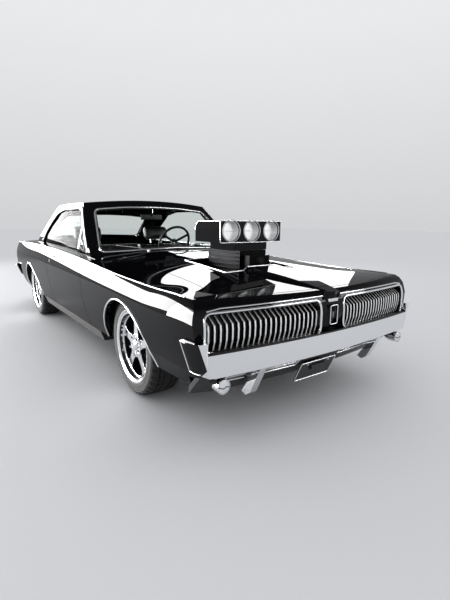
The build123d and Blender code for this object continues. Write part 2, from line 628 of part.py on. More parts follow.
def tyre(y):
    half = TYRE_W / 2
    seat_half = half - 10.0
    profile = [(BEAD_R, WHEEL_X - seat_half), (BEAD_R + 30.0, WHEEL_X - half), (TYRE_R - 34.0, WHEEL_X - half),
               (TYRE_R - 6.0, WHEEL_X - half + 18.0), (TYRE_R, WHEEL_X - half + 40.0),
               (TYRE_R, WHEEL_X + half - 40.0), (TYRE_R - 6.0, WHEEL_X + half - 18.0),
               (TYRE_R - 34.0, WHEEL_X + half), (BEAD_R + 30.0, WHEEL_X + half), (BEAD_R, WHEEL_X + seat_half)]
    return wheel_turned(profile, y)


def wheel_turned(profile, y):
    """Turn a list of (radius, x) points about the wheel's axle."""
    face = Plane.XY * Polygon(*[(x, r) for r, x in profile], align=None)
    return Pos(0, y, TYRE_R) * revolve(face, Axis.X, 360)


def rim(y):
    half = TYRE_W / 2 - 10.0
    x0, x1 = WHEEL_X - half, WHEEL_X + half
    barrel = [(BEAD_R - CLEAR, x0), (BEAD_R - CLEAR, x1), (BEAD_R - 16.0, x1), (BEAD_R - 26.0, x1 - 30.0),
              (BEAD_R - 26.0, x0 + 20.0), (BEAD_R - 16.0, x0)]
    ring = wheel_turned(barrel, y)
    hub = drum_x(HUB_X0, DISC_X1, y, TYRE_R, HUB_R)
    cap = drum_x(DISC_X1, DISC_X1 + 14.0, y, TYRE_R, 32.0)
    spoke = prism_z_spoke(y)
    wheel = ring + hub + cap
    for number in range(SPOKES):
        turn = 360.0 / SPOKES * number
        wheel = wheel + Pos(0, y, TYRE_R) * Rot(turn, 0, 0) * spoke
    bore = drum_x(HUB_X0 - 10.0, HUB_X0 + 20.0 + CLEAR, y, TYRE_R, SPINDLE_R + CLEAR)
    return wheel - bore


def prism_z_spoke(y):
    """One spoke about the axle, standing up, flared at the hub and at the rim."""
    r0, r1 = HUB_R - 16.0, BEAD_R - 20.0
    outline = ((-34.0, r0), (-24.0, r0 + 50.0), (-24.0, r1 - 50.0), (-52.0, r1), (52.0, r1),
               (24.0, r1 - 50.0), (24.0, r0 + 50.0), (34.0, r0))
    return prism_x(outline, WHEEL_X + 48.0, DISC_X1 - 6.0)


# ---- front and rear trim ----
def bar_profile():
    """Side outline of one grille bar as (y behind the grille face, z)."""
    face = ((14.0, GRILLE_Z0 + 6.0), (0.0, 560.0), (-2.0, 612.0), (2.0, 640.0), (62.0, GRILLE_Z1 - 8.0))
    back = [(y + 22.0, z) for y, z in reversed(face)]
    return list(face) + back


def grille():
    """Both halves: upright kinked bars between a foot rail, a head rail and a back panel."""
    face_r = FRONT_R - GRILLE_BACK
    pitch = (GRILLE_OUT_X - GRILLE_IN_X) / GRILLE_BARS
    foot = front_drum(face_r - 14.0) - front_drum(face_r - GRILLE_DEPTH)
    back = front_drum(face_r - GRILLE_DEPTH + GRILLE_BACK_T) - front_drum(face_r - GRILLE_DEPTH)
    foot = foot & box(GRILLE_IN_X, GRILLE_OUT_X, -2600.0, -2200.0, GRILLE_Z0, GRILLE_Z0 + 12.0)
    back = back & box(GRILLE_IN_X, GRILLE_OUT_X, -2600.0, -2200.0, GRILLE_Z0, GRILLE_Z1)
    pieces = [foot, back]
    for number in range(GRILLE_BARS):
        x = GRILLE_IN_X + pitch * (number + 0.5)
        face_y = FRONT_CENTRE_Y - sqrt(face_r ** 2 - x ** 2)
        bar = prism_x([(face_y + dy, z) for dy, z in bar_profile()], x - 4.5, x + 4.5)
        pieces.append(bar)
    return both(fuse(pieces))


GUARD = ((-2414.0, 412.0), (-2384.0, 412.0), (-2256.0, 226.0), (-2292.0, 214.0), (-2326.0, 238.0))
GUARD_X = (486.0, 532.0)


def front_bumper():
    """Bumper with its two slanted guards."""
    return bumper(-HALF_LENGTH, -1, FRONT_BAR) + both(prism_x(GUARD, *GUARD_X))


def rear_bumper():
    bracket = box(380.0, 440.0, 2340.0, 2395.0, 430.0, 470.0) - disc(REAR_R + CLEAR, REAR_CENTRE_Y, TAIL_TOP)
    return bumper(HALF_LENGTH, 1, REAR_BAR) + both(bracket)


def valance_disc(shift):
    rim = tuple((dr + shift, z) for dr, z in VALANCE_LINE)
    return disc(FRONT_R, FRONT_CENTRE_Y, rim)


PARK_LAMP = (185.0, 665.0, 316.0, 366.0)     # inner x, outer x, foot z, head z


def park_lamp_room():
    x0, x1, z0, z1 = PARK_LAMP
    return box(x0, x1, -2600.0, -2200.0, z0, z1)


def front_valance():
    """Panel under the bumper, sloping back to its foot."""
    panel = (valance_disc(0.0) - valance_disc(-VALANCE_T)) & valance_zone
    return panel - both(park_lamp_room()) - bumper_room


def front_lamps():
    """Parking lamps in the valance and round fog lamps under the bumper."""
    lamp = (valance_disc(-4.0) - valance_disc(-VALANCE_T)) & park_lamp_room()
    fog = rod((FOG_X, -2400.0, FOG_Z), (FOG_X, -2260.0, FOG_Z), FOG_R) - valance_disc(CLEAR)
    return both(lamp) + both(fog)


FOG_X, FOG_Z, FOG_R = 748.0, 345.0, 38.0
PLATE_LEAN = 25.0


def number_plate():
    """Blank front plate on its bracket, which reaches back to the valance."""
    plate = Pos(0, -2303.0, 256.0) * Rot(PLATE_LEAN, 0, 0) * Box(305.0, 6.0, 140.0)
    bracket = box(-60.0, 60.0, -2330.0, -2200.0, 262.0, 290.0) - valance_disc(CLEAR)
    return plate + bracket


# ---- engine, blower and scoop ----
def engine():
    """Engine and gearbox as plain blocks, with the blower that stands through the hood."""
    block = box(-230.0, 230.0, -1840.0, -1130.0, 340.0, 640.0)
    sump = box(-150.0, 150.0, -1400.0, -1130.0, 220.0, 340.0)
    gearbox = box(-130.0, 130.0, -1130.0, GEARBOX_REAR_Y, 240.0, 470.0)
    manifold = box(-150.0, 150.0, -1740.0, -1240.0, 640.0, 740.0)
    blower = box(-118.0, 118.0, -1700.0, -1320.0, 740.0, 930.0)
    drive = box(-90.0, 90.0, -1770.0, -1700.0, 560.0, 900.0)
    mount = box(-230.0, 230.0, FRONT_AXLE_Y - 60.0, FRONT_AXLE_Y + 60.0, 300.0, 340.0)
    return fuse([block, sump, gearbox, manifold, blower, drive, mount])


def scoop():
    """Box scoop with three round intakes."""
    r = 60.0
    z0, z1, y0, y1 = SCOOP_Z0, SCOOP_Z1, SCOOP_FRONT_Y, SCOOP_REAR_Y
    side = Wire([Edge.make_line(Vector(0, y0, z0), Vector(0, y0, z1)),
                 Edge.make_line(Vector(0, y0, z1), Vector(0, y1 - r, z1)),
                 Edge.make_three_point_arc(Vector(0, y1 - r, z1),
                                           Vector(0, y1 - r + r * sin(pi / 4), z1 - r + r * cos(pi / 4)),
                                           Vector(0, y1, z1 - r)),
                 Edge.make_line(Vector(0, y1, z1 - r), Vector(0, y1, z0)),
                 Edge.make_line(Vector(0, y1, z0), Vector(0, y0, z0))])
    body = Pos(-SCOOP_HALF_W, 0, 0) * Solid.extrude(Face(side), Vector(2 * SCOOP_HALF_W, 0, 0))
    neck = box(-150.0, 150.0, -1670.0, -1390.0, 930.0, z0)
    for x in (-INTAKE_PITCH, 0.0, INTAKE_PITCH):
        body = body - rod((x, y0 - 1.0, INTAKE_Z), (x, y0 + 120.0, INTAKE_Z), INTAKE_R)
    return body + neck


def butterflies():
    """Polished throttle plates, closed across the three intakes."""
    plates = []
    for x in (-INTAKE_PITCH, 0.0, INTAKE_PITCH):
        y = SCOOP_FRONT_Y + 40.0
        plates.append(rod((x, y, INTAKE_Z), (x, y + 6.0, INTAKE_Z), INTAKE_R - CLEAR))
    return fuse(plates)


# ---- cabin ----
def front_seats():
    seat = prism_x(((-30.0, FLOOR_Z + FLOOR_T), (-70.0, 470.0), (380.0, 420.0), (560.0, 880.0), (660.0, 870.0),
                    (520.0, 400.0), (420.0, FLOOR_Z + FLOOR_T)), 150.0 + 10.0, 660.0)
    return both(seat)


def rear_seat():
    outline = ((745.0, FLOOR_Z + FLOOR_T), (715.0, 450.0), (1120.0, 480.0), (1330.0, 845.0), (1430.0, 845.0),
               (1250.0, 466.0), (1095.0, 466.0), (985.0, FLOOR_Z + FLOOR_T + 1.0))
    return prism_x(outline, -530.0, 530.0) - box(-165.0, 165.0, 700.0, 1060.0, 0.0, 405.0)


def dashboard():
    """Dashboard with the steering column."""
    body = prism_x(((-630.0, 640.0), (-630.0, 800.0), (-360.0, 800.0), (-320.0, 770.0), (-400.0, 640.0)),
                   -640.0, 640.0)
    x, y, z = STEER_WHEEL
    tilt = radians(STEER_TILT)
    foot = (x, y - 520.0 * cos(tilt), z - 520.0 * sin(tilt))
    reach = 15.0 + CLEAR
    column = rod(foot, (x, y - reach * cos(tilt), z - reach * sin(tilt)), 24.0)
    return body + column


def steering_wheel():
    """Rim, three spokes and boss, about the leaning column."""
    ring = Torus(178.0, 13.0)
    boss = Cylinder(34.0, 30.0)
    wheel = ring + boss
    for angle in (90.0, 210.0, 330.0):
        spoke = Pos(90.0, 0, 0) * Box(150.0, 26.0, 8.0)
        wheel = wheel + Rot(0, 0, angle) * spoke
    x, y, z = STEER_WHEEL
    return Pos(x, y, z) * Rot(-(90.0 - STEER_TILT), 0, 0) * wheel


def exhaust():
    """Twin pipes with silencers and tips."""
    z = 205.0
    pipe = rod((250.0, -640.0, z), (250.0, 980.0, z), 28.0)
    box_y = 500.0
    muffler = box(180.0, 320.0, box_y, box_y + 420.0, z - 50.0, FLOOR_Z)
    rise = rod((250.0, 980.0, z), (250.0, 1060.0, z), 28.0)
    tail = rod((250.0, 1060.0, z), (430.0, 2410.0, 262.0), 28.0)
    return both(fuse([pipe, muffler, rise, tail]))


# ---- write every node ----
def nodes():
    left = {"fender": fender(), "quarter": quarter(), "door": door(), "door_glass": door_glass(),
            "knuckle": knuckle()}
    made = {"floor_pan": floor_pan(), "front_frame": front_frame(), "cowl": cowl(), "roof": roof(),
            "rear_body": rear_body(), "nose_panel": nose_panel(), "grille": grille(),
            "front_bumper": front_bumper(), "rear_bumper": rear_bumper(), "front_valance": front_valance(),
            "front_lamps": front_lamps(), "number_plate": number_plate(), "windshield": windshield(),
            "rear_glass": rear_glass(), "tail_lamps": tail_lamps(), "underframe": underframe(),
            "hood": hood(), "trunk_lid": trunk_lid(), "engine": engine(), "scoop": scoop(),
            "butterflies": butterflies(), "front_seats": front_seats(), "rear_seat": rear_seat(),
            "dashboard": dashboard(), "steering_wheel": steering_wheel(), "exhaust": exhaust(),
            "rear_axle": rear_axle()}
    for name, shape in left.items():
        made[name + "_l"] = shape
        made[name + "_r"] = mirrored(shape)
    for end, y in (("f", FRONT_AXLE_Y), ("r", REAR_AXLE_Y)):
        for side in ("l", "r"):
            place = mirrored if side == "r" else (lambda shape: shape)
            made["tyre_" + end + side] = place(tyre(y))
            made["rim_" + end + side] = place(rim(y))
    return made


os.makedirs("parts", exist_ok=True)
for node, shape in nodes().items():
    export_step(Compound(children=list(shape.solids())), "parts/" + node + ".step")
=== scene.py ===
# Two-door hardtop muscle car: gloss black paint, bright mouldings, split upright-bar grille,
# blower scoop through the hood and five-spoke wheels. Metres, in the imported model's frame.
import math

import bmesh
import bpy
from mathutils import Matrix, Vector
from mathutils.bvhtree import BVHTree
from mathutils.interpolate import poly_3d_calc


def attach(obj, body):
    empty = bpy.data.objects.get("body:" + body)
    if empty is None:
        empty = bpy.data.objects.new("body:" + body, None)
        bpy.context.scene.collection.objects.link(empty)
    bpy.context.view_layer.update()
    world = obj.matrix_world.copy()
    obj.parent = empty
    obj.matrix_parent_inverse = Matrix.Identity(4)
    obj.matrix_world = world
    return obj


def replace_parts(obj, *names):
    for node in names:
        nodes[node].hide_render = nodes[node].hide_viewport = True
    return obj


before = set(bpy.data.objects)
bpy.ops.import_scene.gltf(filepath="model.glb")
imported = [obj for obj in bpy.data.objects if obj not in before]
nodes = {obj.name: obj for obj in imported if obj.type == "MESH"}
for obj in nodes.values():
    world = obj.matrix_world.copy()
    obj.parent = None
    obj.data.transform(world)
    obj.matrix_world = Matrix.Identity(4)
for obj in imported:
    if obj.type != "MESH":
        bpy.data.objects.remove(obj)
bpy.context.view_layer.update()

# --- Camera, floor and light ----------------------------------------------------------
# A low three-quarter view from the front right. Floor and sky are one plain pale grey.
# Long softboxes stand low behind and beside the car, so that its black paint shows them
# as the long bright bands that its creases end.
CAMERA_PLACE = (-1.800, -3.825, 1.117)
CAMERA_YAW, CAMERA_PITCH, CAMERA_ROLL = 36.3, -11.04, 0.47
CAMERA_LENS = 23.8
BACKDROP = "#F2F3F5"
FLOOR = "#DADBDD"
FLOOR_SIZE = 120.0
FLOOR_SHADE = 0.72            # how much of the sky's light the floor gives back


def linear(hex_colour, alpha=1.0):
    """sRGB hex to the linear colour that a shader socket takes."""
    parts = [int(hex_colour[i:i + 2], 16) / 255 for i in (1, 3, 5)]
    return [c / 12.92 if c <= 0.04045 else ((c + 0.055) / 1.055) ** 2.4 for c in parts] + [alpha]


def add_node(tree, kind, settings=None, values=None, links=None):
    """Adds a shader node with its settings, its sockets' values and the links into it."""
    made = tree.nodes.new(kind)
    for name, value in (settings or {}).items():
        setattr(made, name, value)
    for socket, value in (values or {}).items():
        made.inputs[socket].default_value = value
    for socket, source in (links or {}).items():
        tree.links.new(source, made.inputs[socket])
    return made


def placed(name, data):
    """New object with this data, in the scene."""
    made = bpy.data.objects.new(name, data)
    bpy.context.scene.collection.objects.link(made)
    return made


view = bpy.data.cameras.new("view")
view.lens = CAMERA_LENS
view.clip_end = 200.0
eye = placed("view", view)
eye.matrix_world = (Matrix.Translation(CAMERA_PLACE)
                    @ Matrix.Rotation(math.radians(-CAMERA_YAW), 4, "Z")
                    @ Matrix.Rotation(math.radians(90.0 + CAMERA_PITCH), 4, "X")
                    @ Matrix.Rotation(math.radians(CAMERA_ROLL), 4, "Z"))
bpy.context.scene.camera = eye
bpy.context.scene.view_settings.view_transform = "Standard"

# The sky is as bright as the floor where it is seen, and mirrors see it fade upwards.
world = bpy.data.worlds.new("sky")
bpy.context.scene.world = world
world.use_nodes = True
tree = world.node_tree
tree.nodes.clear()
path = add_node(tree, "ShaderNodeLightPath")
way = add_node(tree, "ShaderNodeTexCoord")
height = add_node(tree, "ShaderNodeSeparateXYZ", None, None, {0: way.outputs["Generated"]})
mirrored_sky = add_node(tree, "ShaderNodeMapRange", {"interpolation_type": "SMOOTHSTEP"},
                        {"From Min": 0.10, "From Max": 0.70, "To Min": 0.80, "To Max": 0.10},
                        {"Value": height.outputs["Z"]})
seen_sky = add_node(tree, "ShaderNodeMapRange", None,
                    {"From Min": 0.0, "From Max": 0.4, "To Min": FLOOR_SHADE, "To Max": 0.92},
                    {"Value": height.outputs["Z"]})
seen = add_node(tree, "ShaderNodeMath", {"operation": "MAXIMUM"}, None,
                {0: path.outputs["Is Camera Ray"], 1: path.outputs["Is Transmission Ray"]})
lit = add_node(tree, "ShaderNodeMix", {"data_type": "FLOAT"}, {2: 1.0},
               {0: path.outputs["Is Glossy Ray"], 3: mirrored_sky.outputs[0]})
strength = add_node(tree, "ShaderNodeMix", {"data_type": "FLOAT"}, None,
                    {0: seen.outputs[0], 2: lit.outputs[0], 3: seen_sky.outputs[0]})
sky = add_node(tree, "ShaderNodeBackground", None, {"Color": linear(BACKDROP)},
               {"Strength": strength.outputs[0]})
add_node(tree, "ShaderNodeOutputWorld", None, None, {"Surface": sky.outputs[0]})

bpy.ops.object.select_all(action="DESELECT")
bpy.ops.mesh.primitive_plane_add(size=FLOOR_SIZE, location=(0.0, 0.0, 0.0))
floor = bpy.context.object
floor.name = "floor"
studio_floor = bpy.data.materials.new("studio_floor")
studio_floor.use_nodes = True
surface = studio_floor.node_tree.nodes["Principled BSDF"]
surface.inputs["Base Color"].default_value = linear(FLOOR)
surface.inputs["Roughness"].default_value = 0.85
surface.inputs["Specular IOR Level"].default_value = 0.2
floor.data.materials.append(studio_floor)


def softbox(name, place, aim, width, height, radiance):
    """Rectangular card that only shiny surfaces show, with this radiance in a mirror."""
    data = bpy.data.lights.new(name, "AREA")
    data.shape = "RECTANGLE"
    data.size = width
    data.size_y = height
    data.energy = radiance * math.pi * width * height
    lamp = placed(name, data)
    turn = (Vector(aim) - Vector(place)).to_track_quat("-Z", "Y")
    lamp.matrix_world = Matrix.Translation(place) @ turn.to_matrix().to_4x4()
    lamp.visible_camera = False
    lamp.visible_diffuse = False


# Each card's place and aim, its width and height, and its radiance.
softbox("behind_right", (-4.6, 7.6, 2.7), (-0.9, 0.0, 0.8), 8.6, 2.9, 26.0)
softbox("behind_left", (5.1, 5.7, 3.1), (0.0, -1.8, 0.8), 8.4, 2.6, 8.0)
softbox("far_right", (-7.95, 3.65, 2.1), (-0.9, -2.2, 0.6), 5.7, 3.4, 38.0)
softbox("beside_right", (-6.5, 0.4, 3.0), (-0.8, -0.6, 0.7), 6.5, 1.0, 6.0)
softbox("front_left", (4.2, -6.0, 2.4), (0.0, -1.6, 0.8), 3.4, 1.8, 6.0)
softbox("front_right", (-5.2, -6.4, 2.6), (-0.3, -1.8, 0.5), 2.2, 1.2, 4.0)

# --- Painted body ---------------------------------------------------------------------
# Pressed steel panels in black enamel under clear lacquer, mirror-smooth but for the faint
# ripple of sprayed paint. Each skin is its solid's own mesh, cut finely and shaded as the
# pressed surface that the sections below describe; the shut lines are real gaps.
NOSE_CENTRE_Y, NOSE_R = 2.728, 5.140    # plan circle of the front end
TAIL_CENTRE_Y, TAIL_R = -4.428, 6.800   # plan circle of the tail
TAIL_LEVELS = ((0.190, 0.0), (0.700, 0.0), (1.000, 0.050))   # z, and how far forward of the circle
WINDSHIELD = (-0.645, 0.120, 0.724, 0.451, 0.385)     # foot y, sag, half width, run, rise
BACKLIGHT = (1.790, -0.090, 0.640, -0.745, 0.360)
WINDOW_FOOT_Z = 0.867
INSIDE = Vector((0.0, 0.0, 0.4))        # a place well inside the body
SILL_Z = 0.190
RAIL_FOOT_Z = 0.780                     # where the roof's pillars start
BODY_Y, CABIN_Y = (-2.56, 2.56), (-0.80, 2.20)   # how far the sections reach
HALF_WIDTH = 0.90
PANEL_PITCH = 0.05                      # width of the squares that the panels are cut into
ON_SURFACE = 0.004                      # how near a panel's face is to the surface it lies on
WELD = 0.00002                          # corners nearer than this become one

# y, sill x, low x, low z, widest x, widest z, shoulder x, shoulder z, crown z
SECTIONS = (
    (-2.560, 0.690, 0.790, 0.400, 0.850, 0.640, 0.806, 0.716, 0.726),
    (-2.250, 0.745, 0.846, 0.400, 0.894, 0.656, 0.850, 0.764, 0.762),
    (-1.850, 0.780, 0.866, 0.400, 0.904, 0.665, 0.853, 0.767, 0.803),
    (-1.300, 0.790, 0.868, 0.395, 0.904, 0.680, 0.852, 0.783, 0.848),
    (-0.700, 0.792, 0.864, 0.388, 0.904, 0.692, 0.850, 0.815, 0.876),
    (0.000, 0.792, 0.860, 0.385, 0.904, 0.702, 0.853, 0.844, 0.892),
    (0.780, 0.792, 0.862, 0.388, 0.904, 0.712, 0.857, 0.861, 0.905),
    (1.500, 0.785, 0.864, 0.400, 0.902, 0.712, 0.852, 0.858, 0.908),
    (2.050, 0.760, 0.852, 0.430, 0.884, 0.698, 0.836, 0.845, 0.893),
    (2.560, 0.720, 0.822, 0.470, 0.852, 0.684, 0.806, 0.826, 0.862),
)
# y and z along the hood's raised centre, and its half width
RIDGE = ((-2.440, 0.738), (-2.180, 0.788), (-1.700, 0.836))
RIDGE_HALF_W = 0.150
# y, foot x, rail x, rail z, crown z
CABIN = (
    (-0.800, 0.770, 0.640, 1.262, 1.296),
    (0.000, 0.776, 0.646, 1.286, 1.324),
    (0.800, 0.768, 0.634, 1.282, 1.318),
    (1.500, 0.742, 0.596, 1.244, 1.280),
    (2.200, 0.700, 0.540, 1.200, 1.230),
)


def row_at(table, y):
    """A table's values at y, on smooth curves through its rows."""
    last = len(table) - 1
    k = max([i for i in range(last) if table[i][0] <= y] or [0])
    a, b = table[k], table[k + 1]
    before, after = table[max(k - 1, 0)], table[min(k + 2, last)]
    span = b[0] - a[0]
    t = (y - a[0]) / span
    values = []
    for p, q, r, s in zip(before, a, b, after):
        left = (r - p) / (b[0] - before[0]) * span
        right = (s - q) / (after[0] - a[0]) * span
        values.append((2 * t ** 3 - 3 * t ** 2 + 1) * q + (t ** 3 - 2 * t ** 2 + t) * left
                      + (3 * t ** 2 - 2 * t ** 3) * r + (t ** 3 - t ** 2) * right)
    return values


def bowed(start, end, bulge, count=12):
    """Points from start to end, bowed sideways by bulge."""
    (x0, z0), (x1, z1) = start, end
    length = math.hypot(x1 - x0, z1 - z0)
    points = []
    for i in range(count + 1):
        t = i / count
        out = 4 * t * (1 - t) * bulge / length
        points.append((x0 + (x1 - x0) * t + out * (z1 - z0), z0 + (z1 - z0) * t - out * (x1 - x0)))
    return points


def crowned(edge_x, edge_z, crown_z, count=24):
    """Points over the top, from one edge to the other, highest or lowest in the middle."""
    xs = [edge_x * math.cos(math.pi * i / count) for i in range(count + 1)]
    return [(x, edge_z + (crown_z - edge_z) * (1.0 - (x / edge_x) ** 2)) for x in xs]


def body_strips(y):
    """The body's section at y: below the crease, up to the widest, the shoulder, the top."""
    sill_x, low_x, low_z, wide_x, wide_z, edge_x, edge_z, crown_z = row_at(SECTIONS, y)[1:]
    sill, low = (sill_x, SILL_Z), (low_x, low_z)
    widest, shoulder = (wide_x, wide_z), (edge_x, edge_z)
    return (bowed(sill, low, 0.0), bowed(low, widest, 0.008), bowed(widest, shoulder, 0.007),
            crowned(edge_x, edge_z, crown_z))


def cabin_strips(y):
    """The roof's section at y: its side and its top."""
    foot_x, rail_x, rail_z, crown_z = row_at(CABIN, y)[1:]
    return bowed((foot_x, RAIL_FOOT_Z), (rail_x, rail_z), 0.014), crowned(rail_x, rail_z, crown_z)


def along_body(strips, number, y0, y1, count=110):
    """Rows of points over one strip of the sections."""
    ys = [y0 + (y1 - y0) * i / count for i in range(count + 1)]
    return [[Vector((x, y, z)) for x, z in strips(y)[number]] for y in ys]


def round_nose(count=80):
    """Rows of points over the nose, which rolls back from its face on to the hood."""
    profile = [(0.0, 0.560), (0.0, 0.640), (0.018, 0.716), (0.040, 0.746),
               (0.078, 0.768), (0.150, 0.827)]     # how far back of the circle, and z
    soft = []
    for k in range(1, len(profile) - 2):
        p, q, r, s = (Vector(point) for point in profile[k - 1:k + 3])
        soft += [0.5 * ((2 * q) + (r - p) * t + (2 * p - 5 * q + 4 * r - s) * t ** 2
                        + (3 * q - p - 3 * r + s) * t ** 3) for t in (j / 8 for j in range(8))]
    turns = [math.asin(HALF_WIDTH / NOSE_R) * (2 * i / count - 1) for i in range(count + 1)]
    return [[Vector(((NOSE_R - back) * math.sin(a), NOSE_CENTRE_Y - (NOSE_R - back) * math.cos(a), z))
             for back, z in soft] for a in turns]


def hood_ridge(count=40):
    """Rows of points over the hood's raised centre, which is level across."""
    (y0, z0), (y1, z1), (y2, z2) = RIDGE
    slope = (z1 - z0) / (y1 - y0)
    bend = ((z2 - z1) / (y2 - y1) - slope) / (y2 - y0)
    ys = [y0 + (y2 - y0) * i / count for i in range(count + 1)]
    return [[Vector((RIDGE_HALF_W * (j - 2) / 2, y, z0 + (y - y0) * (slope + bend * (y - y1))))
             for j in range(5)] for y in ys]


def round_tail(low, high, count=60):
    """Rows of points over one band of the tail, between two of its levels."""
    levels = [Vector(low).lerp(Vector(high), k / 8) for k in range(9)]
    turns = [math.asin(HALF_WIDTH / TAIL_R) * (2 * i / count - 1) for i in range(count + 1)]
    return [[Vector(((TAIL_R - ahead) * math.sin(a), TAIL_CENTRE_Y + (TAIL_R - ahead) * math.cos(a), z))
             for z, ahead in levels] for a in turns]


def raked_window(window, count=70):
    """Rows of points over the raked surface that a window and the panels round it share."""
    foot_y, sag, half_w, run, rise = window
    radius = (half_w ** 2 + sag ** 2) / (2 * sag)
    rows = []
    for i in range(count + 1):
        x = (2 * i / count - 1) * (half_w + 0.15)
        if abs(x) <= half_w:
            y = foot_y + radius - math.copysign(math.sqrt(radius ** 2 - x ** 2), radius)
        else:
            y = foot_y + sag + 2 * sag / half_w * (abs(x) - half_w)
        rows.append([Vector((x, y + run * k / 8, WINDOW_FOOT_Z + rise * k / 8)) for k in range(-1, 11)])
    return rows


def pressed_surface(rows):
    """A fine grid's search tree, corners, faces and normals."""
    count, wide = len(rows) - 1, len(rows[0])
    corners = [point for row in rows for point in row]
    normals = []
    for i in range(count + 1):
        for j in range(wide):
            along = rows[min(i + 1, count)][j] - rows[max(i - 1, 0)][j]
            across = rows[i][min(j + 1, wide - 1)] - rows[i][max(j - 1, 0)]
            normal = across.cross(along).normalized()
            normals.append(normal if normal.dot(rows[i][j] - INSIDE) > 0 else -normal)
    faces = [(i * wide + j, i * wide + j + 1, (i + 1) * wide + j + 1, (i + 1) * wide + j)
             for i in range(count) for j in range(wide - 1)]
    return BVHTree.FromPolygons(corners, faces), corners, faces, normals


grids = [along_body(body_strips, number, *BODY_Y) for number in range(4)]
grids += [along_body(cabin_strips, number, *CABIN_Y) for number in range(2)]
grids += [round_nose(), hood_ridge(), round_tail(*TAIL_LEVELS[:2]), round_tail(*TAIL_LEVELS[1:])]
grids += [raked_window(WINDSHIELD), raked_window(BACKLIGHT)]
surfaces = [pressed_surface(grid) for grid in grids]


def flipped(vector, side):
    """The same place on the car's left, side 1, or mirrored to its right, side -1."""
    return Vector((vector.x * side, vector.y, vector.z))


def normal_on(surface, place):
    """The pressed surface's normal beside a place, or None if it isn't close."""
    tree, corners, faces, normals = surface
    spot, index = tree.find_nearest(place, ON_SURFACE)[::2]
    if spot is None:
        return None
    face = faces[index]
    shares = poly_3d_calc([corners[i] for i in face], spot)
    return sum((normals[i] * share for i, share in zip(face, shares)), Vector()).normalized()


def cut_finely(piece, pitch):
    """Divides a piece's faces by upright planes both ways, at whole multiples of pitch."""
    mesh = bmesh.new()
    mesh.from_mesh(piece.data)
    for way in (Vector((1.0, 0.0, 0.0)), Vector((0.0, 1.0, 0.0))):
        reach = [vertex.co.dot(way) for vertex in mesh.verts]
        for step in range(math.ceil(min(reach) / pitch), math.floor(max(reach) / pitch) + 1):
            bmesh.ops.bisect_plane(mesh, geom=mesh.verts[:] + mesh.edges[:] + mesh.faces[:],
                                   dist=0.00001, plane_co=way * step * pitch, plane_no=way)
    mesh.to_mesh(piece.data)
    mesh.free()


def own_shading(piece):
    """A piece's search tree, corners, faces and each face's corner normals."""
    mesh = piece.data
    corners = [vertex.co.copy() for vertex in mesh.vertices]
    faces = [tuple(face.vertices) for face in mesh.polygons]
    normals = [[Vector(mesh.corner_normals[k].vector) for k in face.loop_indices]
               for face in mesh.polygons]
    return BVHTree.FromPolygons(corners, faces), corners, faces, normals


def shade_as_pressed(panel, shading):
    """Turns the shading of each face that lies on a pressed surface to that surface.
    The other faces keep the shading that the panel had before it was cut."""
    mesh = panel.data
    tree, corners, faces, normals = shading
    corner_normals = [None] * len(mesh.loops)
    for face in mesh.polygons:
        side = -1.0 if face.center.x < 0.0 else 1.0
        best, fit = None, 0.9           # a surface has to face nearly the same way
        for surface in surfaces:
            normal = normal_on(surface, flipped(face.center, side))
            if normal is not None and flipped(normal, side).dot(face.normal) > fit:
                best, fit = surface, flipped(normal, side).dot(face.normal)
        source = tree.find_nearest(face.center)[2]
        for corner in face.loop_indices:
            place = mesh.vertices[mesh.loops[corner].vertex_index].co
            normal = normal_on(best, flipped(place, side)) if best else None
            if normal is not None:
                corner_normals[corner] = flipped(normal, side)
            else:
                shares = poly_3d_calc([corners[i] for i in faces[source]], place)
                parts = (own * share for own, share in zip(normals[source], shares))
                corner_normals[corner] = sum(parts, Vector())
    mesh.normals_split_custom_set([normal.normalized() for normal in corner_normals])


def only(piece):
    """Selects one piece and nothing else."""
    bpy.ops.object.select_all(action="DESELECT")
    piece.select_set(True)
    bpy.context.view_layer.objects.active = piece


def settled(piece, body, material):
    """Gives a finished piece its material and its body."""
    piece.data.materials.clear()
    piece.data.materials.append(material)
    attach(piece, body)
    return piece


def joined_copy(node, name, body, material):
    """Copy of a CAD node with its loose triangles joined, which then stands for it."""
    piece = placed(name, nodes[node].data.copy())
    only(piece)
    bpy.ops.object.mode_set(mode="EDIT")
    bpy.ops.mesh.select_all(action="SELECT")
    bpy.ops.mesh.remove_doubles(threshold=WELD)
    bpy.ops.object.mode_set(mode="OBJECT")
    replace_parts(piece, node)
    return settled(piece, body, material)


def smoothed(piece, degrees=35.0):
    """Shades a piece smooth across edges that bend less than this."""
    only(piece)
    bpy.ops.object.shade_smooth_by_angle(angle=math.radians(degrees))


def applied(piece, kind, **settings):
    """Adds a modifier with its settings and applies it."""
    modifier = piece.modifiers.new("shape", kind)
    for name, value in settings.items():
        setattr(modifier, name, value)
    only(piece)
    bpy.ops.object.modifier_apply(modifier=modifier.name)


